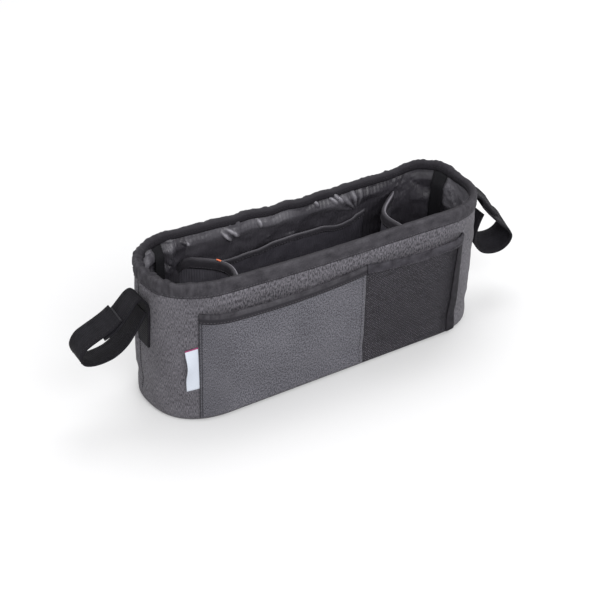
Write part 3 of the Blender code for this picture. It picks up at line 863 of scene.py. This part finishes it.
    def pulls(self, x: float, z: float) -> float:
        """The sharp folds in the back lining: single ones, and a fan at the pocket's corner.

        Args:
            x: Place along the bag.
            z: Height in the bag.

        Returns:
            How far the cloth stands into the bag there.
        """
        height = 0.0
        for x0, z0, x1, z1 in self.folds:
            along, off = Vector((x1 - x0, z1 - z0)), Vector((x - x0, z - z0))
            share = clamp(off.dot(along) / along.length_squared)
            height += 0.0030 * bump((off - along * share).length, 0.0012) * (0.35 + sin(pi * share))
        ray = Vector((x - 0.088, z - 0.113))
        reach, far = ray.length, 0.034
        if ray.y > 0 and 0.002 < reach < far:
            turn = acos(clamp(ray.x / reach, -1.0, 1.0))
            height += 0.0026 * abs(sin(7.5 * turn)) ** 3 * sin(pi * reach / far) * bump(turn - 1.95, 0.7)
        return height

    def foam_place(self, s: float, t: float, away: float) -> Vector:
        """How the foam stands between the cloths."""
        return TUB.point(6.0 * s, FOOT + (TUB.top - FOOT) * t, SHELL + GAP)

    def build(self) -> None:
        """The two outer panels, the foam, the lining and the seam stitches."""
        tall = TUB.height + self.hem
        for side, start, end in (("front", SEAMS[0], 2.998), ("back", 3.002, 5.896)):
            wide, place = TUB.length_at(0.075, start, end), self.outer_place(start, end)
            cut = Cut(f"outer_{side}_cloth", wide, tall, place, MELANGE, (150, 44), SHELL, -1.0)
            cut.sheet(f"outer_{side}_panel")
        seam = Stitching("end_seams", DARK_THREAD, pitch=0.0024, wide=0.0012, high=0.0006)
        for u in SEAMS:
            seam.sew(lambda s: TUB.point(u, 0.012 + 0.122 * s, -STITCH_LIFT))
        seam.finish_off()
        wide, tall = TUB.length_at(0.075), TUB.top - BASE_STACK
        foam = Cut("wall_padding", wide, tall, self.foam_place, FOAM_FINISH, (160, 16), FOAM, -1.0, ring=True)
        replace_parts(foam.lay(), "wall_foam")
        lining = Cut("lining_cloth", wide, tall, self.lining_place(), TAFFETA, (300, 48), LINING, -1.0,
                     ring=True).lay()
        low, high = FOOT + 0.006, TUB.top - 0.0035
        Slump(0.05, 0.0045, -1).settle(lining, lambda spot: 0.0 if low <= spot.z <= high else 1.0)
        self.crumple(lining)
        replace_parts(lining, "lining_wall")


@dataclass
class Floor:
    """The base of the bag: outer cloth, board and lining."""

    inset: float = 0.0045 + GAP

    def layer(self, name: str, node: str, low: float, thickness: float, inset: float, finish: Finish,
              relief: float = 0.0) -> None:
        """Lay a sheet with the outline of the foot.

        Args:
            name: The piece's name.
            node: The node that it stands for.
            low: Height of its underside.
            thickness: Its thickness.
            inset: How far inside the foot it is cut.
            finish: Its finish.
            relief: How far its wrinkles stand up.
        """
        def place(s: float, t: float, away: float) -> Vector:
            """Between the front and the back of the outline at a place along it."""
            u = clamp(3.0 * s, 0.0005, 2.9995)
            spot = TUB.point(u, 0.0, inset).lerp(TUB.point(6.0 - u, 0.0, inset), t)
            free = 4 * t * (1 - t) * clamp(8 * s) * clamp(8 * (1 - s))
            spot.z = low + relief * free * crease(spot.x * 18, spot.y * 18, 3.0)
            return spot

        wide = (TUB.point(3.0, 0.0, inset) - TUB.point(0.0, 0.0, inset)).length
        made = Cut(name, wide, TUB.foot_width, place, finish, (90, 24), thickness, 1.0).lay()
        rim = [TUB.point(u / 40, 0.0, inset) for u in range(240)]
        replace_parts(made, node)

    def build(self) -> None:
        """The base cloth, the board's finish and the lining's floor."""
        self.layer("base_cloth", "base_panel", 0.0, SHELL, self.inset, MELANGE)
        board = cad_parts["base_board"]
        board.data.materials.clear()
        board.data.materials.append(BOARD_FINISH.material())
        low = SHELL + BOARD + 2 * GAP
        self.layer("lining_floor", "lining_base", low, LINING, self.inset + GAP, PLAIN_TAFFETA, 0.0012)


@dataclass
class Folded:
    """Tape folded over an edge and sewn through: its section between two faces of what it binds."""

    near: float
    far: float
    reach: float
    inside: float
    crown: float
    puff: float = 0.0002

    def __post_init__(self) -> None:
        """Measure the fold and the tape's flat width."""
        self.half = (self.far - self.near) / 2 + GAP
        self.arc = pi / 2 * (self.half + self.crown)
        self.width = self.reach + self.arc + self.inside

    def section(self, t: float) -> tuple[float, float]:
        """The tape's section across the edge.

        Args:
            t: Share of the tape's width, from its outside.

        Returns:
            Depth of its inner face, and its height over the edge.
        """
        middle = (self.near + self.far) / 2
        walked = t * self.width
        if walked < self.reach:
            down = 1 - walked / self.reach
            return middle - self.half - self.puff * sin(pi * down), GAP - (self.reach + GAP) * down
        walked -= self.reach
        if walked <= self.arc:
            angle = pi * walked / self.arc
            return middle - self.half * cos(angle), GAP + self.crown * sin(angle)
        down = (walked - self.arc) / self.inside
        return middle + self.half + self.puff * sin(pi * down), GAP - (self.inside + GAP) * down


@dataclass
class RimTape:
    """Grosgrain folded over the top of the wall, gathered most at the left end, with its stitches."""

    reach: float = 0.0108
    inside: float = 0.0050
    gather: float = 0.0016

    def looseness(self, u: float) -> float:
        """How loosely the tape is gathered at a place round the outline."""
        left = bump(min(u, 6.0 - u) - 0.05, 0.65)
        back = 0.8 * clamp((u - 2.8) / 0.3) * clamp((6.0 - u) / 0.3)
        return max(0.22, back, 2.0 * left)

    def build(self) -> None:
        """The tape and its stitches."""
        fold = Folded(0.0, WALL, self.reach, self.inside, TUB.rim_crown)

        def place(s: float, t: float, away: float) -> Vector:
            """A point of the tape, shifted out and up by its gathers."""
            u = 6.0 * s
            depth, rise = fold.section(t)
            z = TUB.top + min(rise, 0.0)
            x, y, _ = TUB.point(u, z, depth)
            wave = 0.45 - 1.9 * abs(ripple(x * 62, y * 62, 2.0)) + 0.5 * ripple(x * 150, y * 150, 6.0)
            wave += 0.55 * ripple(x * 260, y * 260, 3.0)
            press = clamp(1 - abs(rise + self.reach * 0.8) / 0.002) if t < 0.5 else 0.0
            shift = self.gather * self.looseness(u) * wave * (1 - press)
            lean = (depth - WALL / 2) / fold.half
            spot = TUB.point(u, z, depth + max(0.0, shift) * lean)
            spot.z += max(rise, 0.0) + 0.9 * shift * clamp(1 + rise / self.reach)
            return spot

        wide = TUB.length_at(TUB.top)
        tape = Cut("rim_tape", wide, fold.width, place, GROSGRAIN, (800, 18), TAPE, 1.0, True)
        tape.sheet("rim_binding")
        low, high = TUB.top - self.reach + 0.0018, TUB.top - 0.0012
        out, back = -GAP - TAPE - 0.00025, WALL + GAP + TAPE + 0.00035
        Stitching("rim_stitching").sew(lambda s: TUB.point(6.0 * s, low, out), 900).finish_off()
        inner = Stitching("inner_rim_stitching", DARK_THREAD, long=0.0028, wide=0.0009)
        inner.sew(lambda s: TUB.point(6.0 * s, high, back), 900).finish_off()


@dataclass
class Divider:
    """A padded partition between the front and back walls, with a bound top edge."""

    side: str
    front_x: float
    back_x: float
    bow: float
    drop_front: float = 0.0170
    drop_back: float = 0.0300
    corner: float = 0.0
    arch: float = 0.0
    skew: float = 1.0
    reach: float = 0.0085
    crown: float = 0.0012

    def __post_init__(self) -> None:
        """Find where the panel meets the walls."""
        self.front = TUB.front(self.front_x)
        self.back = TUB.back(self.back_x)
        steps = 12
        lean = abs(self.back_x - self.front_x) + abs(self.bow) * sin(pi / steps) ** 1.5 * steps
        self.clear = WALL + 2 * GAP + (DIVIDER / 2 + GAP + TAPE) * lean / TUB.rim_width

    def top(self, s: float) -> float:
        """Height of the padded panel's top edge at a share of the way from front to back."""
        corner = self.corner * clamp((s - 0.86) / 0.14) ** 2
        fall = self.drop_front + (self.drop_back - self.drop_front) * s + corner
        return TUB.height - fall + self.arch * sin(pi * clamp(s)) ** 0.8

    def middle(self, s: float, z: float) -> Vector:
        """A point of the panel's middle surface."""
        spot = TUB.point(self.front, z, self.clear).lerp(TUB.point(self.back, z, self.clear), s)
        spot.x += self.bow * sin(pi * clamp(s) ** self.skew) ** 1.5
        spot.z = z
        return spot

    def beside(self, s: float, z: float, depth: float) -> Vector:
        """A point at a depth from the middle surface, towards +X."""
        step = 0.01
        along = self.middle(min(s + step, 1.0), z) - self.middle(max(s - step, 0.0), z)
        return self.middle(s, z) + Vector((along.y, -along.x, 0.0)).normalized() * depth

    def panel_place(self, s: float, t: float, away: float) -> Vector:
        """How the padded panel stands, with soft folds."""
        free = sin(pi * s) * sin(pi * t)
        swell = 0.0022 * free * ripple(s * 3.1 + self.front_x, t * 2.6, 1.0)
        swell += 0.0007 * free * crease(s * 7, t * 6, 2.0 + self.front_x)
        return self.beside(s, FOOT + (self.top(s) - FOOT) * t, swell)

    def build(self) -> None:
        """The panel, its binding and their stitches."""
        fold = Folded(-DIVIDER / 2, DIVIDER / 2, self.reach, self.reach, self.crown, 0.0001)

        def tape_place(s: float, t: float, away: float) -> Vector:
            """A point of the tape over the panel's top edge."""
            depth, rise = fold.section(t)
            return self.beside(s, self.top(s) + rise, depth)

        wide = (self.middle(1.0, 0.08) - self.middle(0.0, 0.08)).length * 1.04
        tall = (self.top(0.0) + self.top(1.0)) / 2 - FOOT
        name = "divider_pad_" + self.side
        panel = Cut(name, wide, tall, self.panel_place, DIVIDER_TAFFETA, (48, 48), DIVIDER).lay()
        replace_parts(panel, "cup_divider_" + self.side)
        tape = Cut("divider_tape_" + self.side, wide, fold.width, tape_place, CUP_TAPE, (64, 16), TAPE, -1.0)
        tape.sheet("cup_binding_" + self.side)
        seam = Stitching("divider_stitching_" + self.side)
        face = DIVIDER / 2 + GAP + TAPE + STITCH_LIFT
        for depth in (-face, face):
            seam.sew(lambda s: self.beside(0.02 + 0.96 * s, self.top(s) - self.reach + 0.0018, depth))
        seam.finish_off()
        if self.side == "left":
            self.bartack()

    def bartack(self) -> None:
        """A short row of close stitches over the binding."""
        tack = Stitching("red_bartack", RED_THREAD, long=0.0030, high=0.0005)
        z = self.top(0.57) + GAP + self.crown + TAPE + STITCH_LIFT
        for i in range(12):
            along = Vector((0.8, 0.5 + 0.1 * (i % 3), 0.0)).normalized()
            tack.lay(self.beside(0.56 + 0.0045 * i, z, 0.0), along)
        tack.finish_off()


@dataclass
class Pocket:
    """A patch pocket on a wall, sewn at its sides and foot, with a bound top that stands off."""

    name: str
    start: float
    end: float
    foot: float
    top: float
    cloth: float
    belly: float
    reach: float
    crown: float
    outward: bool = True
    sag: Callable[[float], float] | None = None
    lean: float = 0.0

    def up(self, z: float) -> float:
        """How far up the pocket a height is, from 0 to 1."""
        return clamp((z - self.foot) / (self.top - self.foot))

    def point(self, s: float, z: float, depth: float) -> Vector:
        """A point of the pocket's cloth.

        Args:
            s: Share of the way across the pocket.
            z: Height before its top edge sags.
            depth: Depth into the cloth, counted away from the wall.

        Returns:
            The point.
        """
        up = self.up(z)
        away = GAP + (TAPE + GAP) * up + self.belly * max(0.0, sin(pi * clamp(s))) ** 0.8 * up ** 1.3 + depth
        u = self.start + (self.end - self.start) * s + self.lean * (1 - s) * (1 - up)
        if self.sag:
            z -= self.sag(s) * up ** 2
            away += 0.0034 * clamp(4 * s) * clamp(4 * (1 - s)) * clamp((z - self.foot) / 0.03)
        return TUB.point(u, z, -away if self.outward else WALL + away)

    @property
    def width(self) -> float:
        """Length of cloth across the pocket."""
        return TUB.length_at(0.08, self.start, self.end) * 1.02

    @property
    def tall(self) -> float:
        """Length of cloth from its foot to its top."""
        return self.top - self.foot

    def panel_place(self, relief: float = 0.0) -> Place:
        """How the panel lies.

        Args:
            relief: Depth of its soft folds.

        Returns:
            The place of each point of the panel.
        """
        across = self.width

        def place(s: float, t: float, away: float) -> Vector:
            """A point of the panel, raised by its folds."""
            free = clamp(6 * s) * clamp(6 * (1 - s)) * clamp(5 * t) * clamp(5 * (1 - t))
            fold = max(0.0, ripple(s * across * 16, t * 2.4, self.start) + 0.2)
            fold += 0.5 * crease(s * across * 20, t * 3.0, self.start + 4)
            return self.point(s, self.foot + self.tall * t, away + relief * fold * free)
        return place

    def bind(self, node: str, finish: Finish) -> None:
        """Fold tape over the pocket's top edge.

        Args:
            node: The node that the tape stands for.
            finish: The tape's finish.
        """
        fold = Folded(0.0, self.cloth, self.reach, self.reach, self.crown, 0.0001)

        def place(s: float, t: float, away: float) -> Vector:
            """A point of the tape, which stands straight up where it rises over the edge."""
            depth, rise = fold.section(t)
            return self.point(s, self.top + min(rise, 0.0), depth) + Vector((0.0, 0.0, max(rise, 0.0)))

        side = -1.0 if self.outward else 1.0
        tape = Cut(self.name + "_tape", self.width, fold.width, place, finish, (110, 12), TAPE, side)
        tape.sheet(node)


@dataclass
class FrontPockets:
    """The cloth pocket with its blank side tag, and the net pocket beside it."""

    drop: float = 0.0310
    foot: float = 0.0045
    belly: float = 0.0095
    reach: float = 0.0085
    crown: float = 0.0008
    net_cells: tuple[int, int] = (40, 38)
    strand: float = 0.0007
    edging: float = 0.0105
    tag_reach: float = 0.0112
    tag_low: float = 0.038
    tag_high: float = 0.0835

    def pocket(self, name: str, left: float, right: float, cloth: float) -> Pocket:
        """A front pocket between two places of the front."""
        start, end, top = TUB.front(left), TUB.front(right), TUB.height - self.drop
        return Pocket(name, start, end, self.foot, top, cloth, self.belly, self.reach, self.crown)

    def net(self, pocket: Pocket) -> None:
        """Knotted net: diamond gaps between round strands, cut from a poked grid."""
        cut = Cut("net_cloth", pocket.width, pocket.tall, pocket.panel_place(), NET, self.net_cells)
        bm = cut.flat()
        square = [edge for edge in bm.edges if not edge.is_boundary]
        bmesh.ops.poke(bm, faces=bm.faces[:])
        bmesh.ops.dissolve_edges(bm, edges=square)
        bmesh.ops.wireframe(bm, faces=bm.faces[:], thickness=self.strand, use_replace=True, use_boundary=True,
                            use_even_offset=True)
        bmesh.ops.translate(bm, verts=bm.verts, vec=(0.0, 0.0, 0.0006))
        cut.map_cloth(bm)
        cut.sheet("mesh_pocket_panel", bm=bm)

    def edge(self, pocket: Pocket) -> None:
        """The tape that edges the net's right side, set by its width in the plan of the pocket."""
        tall, tenth = pocket.tall - pocket.reach, 0.1
        start = pocket.end - tenth * (pocket.end - pocket.start)
        reach = tenth * self.edging / TUB.length_at(0.07, start, pocket.end)

        def place(s: float, t: float, away: float) -> Vector:
            """A point of the edging on the net."""
            return pocket.point(1.0 - reach * (1.0 - s), pocket.foot + tall * t, pocket.cloth + GAP)

        Cut("net_edging", self.edging, tall, place, NET_EDGE, (6, 60), 0.0005, 1.0).sheet()

    def tag(self) -> None:
        """A blank folded tag sewn into the left seam of the pocket."""
        start, end = TUB.front(TAG_SEAM - 2 * GAP), TUB.front(TAG_SEAM - self.tag_reach)
        wide = TUB.length_at(0.06, end, start)
        tall = self.tag_high - self.tag_low

        def place(s: float, t: float, away: float) -> Vector:
            """A point of the tag, which curls out and droops away from its seam."""
            share = 1.0 - s
            z = self.tag_low + tall * t - 0.0022 * share - 0.0012 * share * sin(pi * t)
            turn = radians(12 + 27 * sin(pi * clamp(1.15 - t)) ** 2)
            lift = wide * share * sin(turn) * (0.5 + 0.3 * share)
            return TUB.point(start + (end - start) * share * cos(turn), z, -GAP - lift)

        Cut("blank_tag", wide, tall, place, SATIN, (14, 36), TAG, 1.0).sheet("side_tag")

    def build(self) -> None:
        """Both pockets, their tapes and stitches, and the tag."""
        cloth = self.pocket("pocket", POCKET_LEFT, 0.0284, SHELL)
        cloth.lean = TUB.front(POCKET_LEFT - 0.0035) - TUB.front(POCKET_LEFT)
        panel = Cut("pocket_cloth", cloth.width, cloth.tall, cloth.panel_place(CLOTH_FOLD), POCKET_CLOTH,
                    (100, 60), SHELL, 1.0)
        panel.sheet("fabric_pocket_panel")
        cloth.bind("fabric_pocket_binding", GROSGRAIN)
        mesh = self.pocket("net", 0.0291, 0.1465, 0.0014)
        self.net(mesh)
        mesh.bind("mesh_pocket_binding", NET_TAPE)
        self.edge(mesh)
        self.tag()
        seam = Stitching("pocket_stitching")
        for pocket in (cloth, mesh):
            low, out = pocket.top - pocket.reach + 0.0016, pocket.cloth + GAP + TAPE + STITCH_LIFT
            seam.sew(lambda s: pocket.point(s, low, out))
        seam.finish_off()
        seam = Stitching("pocket_side_stitching", DARK_THREAD, wide=0.0008)
        for pocket, shares in ((cloth, (0.004, 0.028, 0.980)), (mesh, (0.010, 0.962, 0.990))):
            low, tall = pocket.foot + 0.002, pocket.tall - 0.004
            for s in shares:
                seam.sew(lambda t: pocket.point(s, low + tall * t, SHELL + 0.0009))
        seam.finish_off()


@dataclass
class InnerPocket:
    """The slip pocket inside the back wall, in ribbed lining with a hemmed top."""

    top: float = TUB.height - 0.0370
    edge: Table = (
        (0.0, 0.0005), (0.05, 0.0022), (0.10, 0.0058), (0.17, 0.0066), (0.33, 0.0006), (0.47, -0.0003),
        (0.60, 0.0008), (0.73, 0.0058), (0.90, 0.0098), (1.0, 0.0110),
    )

    def build(self) -> None:
        """The pocket, its hem, which hangs as the table of its edge says, and a row of stitches."""
        pocket = Pocket("inner_pocket", TUB.back(0.098), TUB.back(-0.090), 0.014, self.top, LINING, 0.0048,
                        0.0050, 0.0006, False, partial(eased, self.edge))
        panel = Cut("inner_pocket_cloth", pocket.width, pocket.tall, pocket.panel_place(CLOTH_FOLD),
                    RIBBED_TAFFETA, (110, 50), LINING, -1.0)
        panel.sheet("inner_back_pocket")
        pocket.bind("inner_pocket_hem", SATIN_HEM)
        low, out = self.top - 0.0042, LINING + GAP + TAPE + STITCH_LIFT
        Stitching("inner_pocket_stitching").sew(lambda s: pocket.point(s, low, out)).finish_off()


@dataclass
class SeamTapes:
    """Black tapes over the lining's seams, inside the cup bays."""

    left: float = -0.1520
    right: float = LINING_SEAMS[1]
    wide: float = 0.0125
    foot: float = 0.012

    def build(self) -> None:
        """Both tapes."""
        foot, top = self.foot, TUB.top - 0.0050 - GAP
        for side, x, share in (("left", self.left, 0.72), ("right", self.right, 1.0)):
            middle, spread = TUB.back(x), self.wide / TUB.rim_width * share
            wide = TUB.length_at(0.08, middle - spread, middle + spread)

            def place(s: float, t: float, away: float) -> Vector:
                """A point of the tape, which stands clear of the crumpled lining."""
                u = middle + (2 * s - 1) * spread
                z = foot + (top - foot) * t
                rest = 0.0006 + 0.0058 * clamp((z - foot) / 0.012) * clamp((top - z) / 0.012)
                return TUB.point(u, z, WALL + rest + 0.0005 * ripple(u * 6, z * 60, 1.0))

            tape = Cut("seam_cover_" + side, wide, top - foot, place, BLACK_TAPE, (6, 40), TAPE, -1.0)
            tape.sheet("seam_tape_" + side)


def smooth_route(route: Table, steps: int) -> Table:
    """Draw a smooth curve through a route's own points.

    Args:
        route: Rows of numbers, one row for each point.
        steps: How many points the curve has for each of the route's.

    Returns:
        The rows along the curve.
    """
    padded = [route[0], *route, route[-1]]
    spots = []
    for rows in zip(padded, padded[1:], padded[2:], padded[3:]):
        for t in (step / steps for step in range(steps)):
            spots.append(tuple(
                0.5 * (2 * q + (r - p) * t + (2 * p - 5 * q + 4 * r - s) * t ** 2
                       + (3 * q - p - 3 * r + s) * t ** 3)
                for p, q, r, s in zip(*rows)
            ))
    return spots + [tuple(route[-1])]


@dataclass
class Band:
    """A flat band beside an end of the bag.

    Its route has rows of the distance out from the end wall, the height, the drop of its front edge
    and how far that edge stands out.
    """

    name: str
    node: str
    side: int
    route: Table
    finish: Finish = WEB
    wide: float = STRAP_WIDTH
    thickness: float = WEBBING
    taper: float = 0.0
    taper_reach: float = 0.016

    def __post_init__(self) -> None:
        """Walk the route and measure its length."""
        self.spots = smooth_route(self.route, 8)
        self.long = sum(hypot(b[0] - a[0], b[1] - a[1]) for a, b in zip(self.spots, self.spots[1:]))

    def point(self, s: float, t: float, away: float = 0.0) -> Vector:
        """A point of the band.

        Args:
            s: Share of the way along the band.
            t: Share of the way across it, from its front edge.
            away: How far it is raised off the middle of the band.

        Returns:
            The point.
        """
        at = clamp(s) * (len(self.spots) - 1)
        i = min(int(at), len(self.spots) - 2)
        a, b = self.spots[i], self.spots[i + 1]
        out, z, drop, flare = (p + (q - p) * (at - i) for p, q in zip(a, b))
        tip = TUB.point(0.0 if self.side < 0 else 3.0, min(z, TUB.top), 0.0)
        wide = self.wide * (1 - self.taper * clamp(1 - s * self.long / self.taper_reach))
        across = (1 - 2 * t) * wide / STRAP_WIDTH
        along = Vector((b[0] - a[0], b[1] - a[1])).normalized()
        x = tip.x + self.side * (out + flare * across - along.y * away)
        return Vector((x, tip.y - (0.5 - t) * wide, z - drop * across + along.x * away))

    def build(self) -> None:
        """The band's object, in cells of 2 mm along it."""
        cells = (int(self.long / 0.0020), 10)
        cut = Cut(self.name, self.long, self.wide, self.point, self.finish, cells, self.thickness)
        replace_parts(cut.lay(), self.node)


@dataclass
class StrapLoop:
    """A strap loop at one end: a short and a long band with a hook patch between them."""

    side: int
    short: Table
    long: Table

    def patch(self) -> Table:
        """The hook patch's route: beside the short band's end, away from the bag."""
        step = (WEBBING / 2 + GAP + HOOK / 2) * -self.side
        route = self.short[-3:]
        moved = []
        for i, (out, z, drop, flare) in enumerate(route):
            before, after = route[max(i - 1, 0)], route[min(i + 1, len(route) - 1)]
            along = Vector((after[0] - before[0], after[1] - before[1])).normalized()
            moved.append((out - along.y * step, z + along.x * step, drop, flare))
        return moved

    def build(self) -> None:
        """The bands, the hook patch and their edge stitches."""
        end = "left" if self.side < 0 else "right"
        short = Band("short_band_" + end, "strap_short_" + end, self.side, self.short, taper=0.2)
        long = Band("long_band_" + end, "strap_long_" + end, self.side, self.long)
        hook = Band("hook_band_" + end, "hook_patch_" + end, self.side, self.patch(), HOOK_FINISH,
                    HOOK_WIDTH, HOOK)
        for band in (short, long, hook):
            band.build()
        seam = Stitching("band_stitching_" + end, BLACK_THREAD)
        face = WEBBING / 2 + STITCH_LIFT
        for band in (short, long):
            for t, away in ((0.09, -face), (0.09, face), (0.91, -face), (0.91, face)):
                seam.sew(lambda s: band.point(s, t, away))
        seam.finish_off()


LEFT_LOOP = StrapLoop(-1, (
    (0.0013, 0.0715, 0, 0), (0.0013, 0.0900, 0, 0), (0.0013, 0.1130, 0, 0),
    (0.0030, 0.1210, 0, 0), (0.0080, 0.1265, 0, 0), (0.0138, 0.1252, 0, 0), (0.0200, 0.1186, 0.001, 0),
    (0.0275, 0.1105, 0.002, 0), (0.0370, 0.1037, 0.003, 0), (0.0480, 0.0992, 0.003, 0),
), (
    (0.0042, 0.1120, 0, 0), (0.0075, 0.1060, 0, 0), (0.0145, 0.0960, 0, 0), (0.0245, 0.0835, 0, 0),
    (0.0365, 0.0755, 0, 0), (0.0485, 0.0726, 0, 0), (0.0605, 0.0728, 0, 0), (0.0695, 0.0774, 0.001, 0),
    (0.0722, 0.0862, 0.002, 0), (0.0668, 0.0946, 0.003, 0), (0.0575, 0.0994, 0.003, 0),
    (0.0480, 0.1033, 0.003, 0), (0.0384, 0.1078, 0.003, 0), (0.0308, 0.1135, 0.002, 0),
))
RIGHT_LOOP = StrapLoop(1, (
    (0.0013, 0.0680, 0, 0), (0.0013, 0.0900, 0, 0), (0.0013, 0.1130, 0, 0),
    (0.0034, 0.1232, 0, 0), (0.0090, 0.1293, 0.001, 0), (0.0160, 0.1277, 0.003, 0),
    (0.0232, 0.1212, 0.005, 0), (0.0322, 0.1121, 0.007, 0), (0.0420, 0.1018, 0.007, 0),
), (
    (0.0200, 0.1065, 0.004, 0.003), (0.0165, 0.0985, 0.004, 0.003), (0.0132, 0.0885, 0.005, 0.003),
    (0.0135, 0.0780, 0.006, 0.002), (0.0190, 0.0685, 0.007, 0.001), (0.0285, 0.0605, 0.007, 0),
    (0.0410, 0.0560, 0.007, 0), (0.0535, 0.0560, 0.007, 0), (0.0624, 0.0613, 0.007, 0),
    (0.0653, 0.0700, 0.007, 0), (0.0600, 0.0792, 0.007, 0), (0.0500, 0.0884, 0.007, 0),
    (0.0393, 0.0988, 0.007, 0), (0.0294, 0.1091, 0.007, 0), (0.0220, 0.1168, 0.006, 0),
))


@dataclass
class Studio:
    """A white floor, soft light from all round and above, and the camera."""

    place: Triple = (-0.73118, -1.17343, 0.90965)
    right: Triple = (0.85452, -0.51942, 0.0)
    up: Triple = (0.27126, 0.44626, 0.85279)
    back: Triple = (-0.44296, -0.72873, 0.52223)
    lens: float = 97.24

    def white(self, add: Add) -> Node:
        """1 for rays that see the background: camera, glossy and transmission rays."""
        rays = add("LightPath").outputs
        gloss = add("Math", {0: rays["Is Glossy Ray"], 1: rays["Is Transmission Ray"]}, operation="MAXIMUM")
        return add("Math", {0: rays["Is Camera Ray"], 1: gloss}, operation="MAXIMUM")

    def world(self) -> None:
        """A dim even sky that looks white."""
        world = bpy.data.worlds.new("studio")
        bpy.context.scene.world = world
        world.use_nodes = True
        world.node_tree.nodes.clear()
        add = partial(add_node, world.node_tree)
        level = add("MapRange", {"Value": self.white(add), "To Min": 0.85, "To Max": 1.0})
        add("OutputWorld", {"Surface": add("Background", {"Color": (1.0, 1.0, 1.0, 1.0), "Strength": level})})

    def floor(self) -> None:
        """A white floor that keeps the bag's shadow."""
        bm = bmesh.new()
        bmesh.ops.create_grid(bm, x_segments=1, y_segments=1, size=6.0)
        mesh = bpy.data.meshes.new("studio_floor")
        bm.to_mesh(mesh)
        bm.free()
        finish = bpy.data.materials.new("matt_white_paper")
        finish.use_nodes = True
        finish.node_tree.nodes.clear()
        add = partial(add_node, finish.node_tree)
        paper = add("BsdfDiffuse", {"Color": (0.60, 0.60, 0.605, 1.0)})
        glow = add("MapRange", {"Value": self.white(add), "To Min": 0.0, "To Max": 0.215})
        both = add("AddShader", {0: paper, 1: add("Emission", {"Strength": glow})})
        add("OutputMaterial", {"Surface": both})
        mesh.materials.append(finish)
        made = bpy.data.objects.new("studio_floor", mesh)
        bpy.context.scene.collection.objects.link(made)

    def lamp(self, name: str, place: Vector, size: float, power: float) -> None:
        """A soft square lamp that looks at the bag.

        Args:
            name: The lamp's name.
            place: Where it hangs.
            size: The length of its sides.
            power: Its power in watts.
        """
        data = bpy.data.lights.new(name, "AREA")
        data.size = size
        data.energy = power
        lamp = bpy.data.objects.new(name, data)
        aim = (Vector((0.0, 0.0, 0.06)) - place).to_track_quat("-Z", "Y").to_matrix().to_4x4()
        lamp.matrix_world = Matrix.Translation(place) @ aim
        bpy.context.scene.collection.objects.link(lamp)

    def build(self) -> None:
        """The floor, the lamps, the sky and the camera."""
        self.world()
        self.floor()
        self.lamp("key_lamp", Vector((0.6, 0.7, 2.0)), 1.3, 18.0)
        self.lamp("fill_lamp", Vector((-0.4, -2.1, 1.6)), 1.6, 40.0)
        data = bpy.data.cameras.new("photo_camera")
        data.lens = self.lens
        data.sensor_width = 36.0
        camera = bpy.data.objects.new("photo_camera", data)
        turn = Matrix((self.right, self.up, self.back)).transposed().to_4x4()
        camera.matrix_world = Matrix.Translation(self.place) @ turn
        bpy.context.scene.collection.objects.link(camera)
        bpy.context.scene.camera = camera
        bpy.context.scene.view_settings.view_transform = "Standard"


def main() -> None:
    """Build the bag's pieces in order and the studio round them."""
    logging.basicConfig(level=logging.INFO, format="%(name)s: %(message)s")
    for part in (
        Wall(), Floor(), RimTape(),
        Divider("left", -0.106, -0.1235, 0.017, corner=0.010, arch=0.0032),
        Divider("right", 0.084, 0.132, -0.018, drop_back=0.0268, skew=1.25),
        FrontPockets(), InnerPocket(), SeamTapes(), LEFT_LOOP, RIGHT_LOOP, Studio(),
    ):
        part.build()
        LOG.info("%s done", type(part).__name__)


if __name__ == "__main__":
    main()
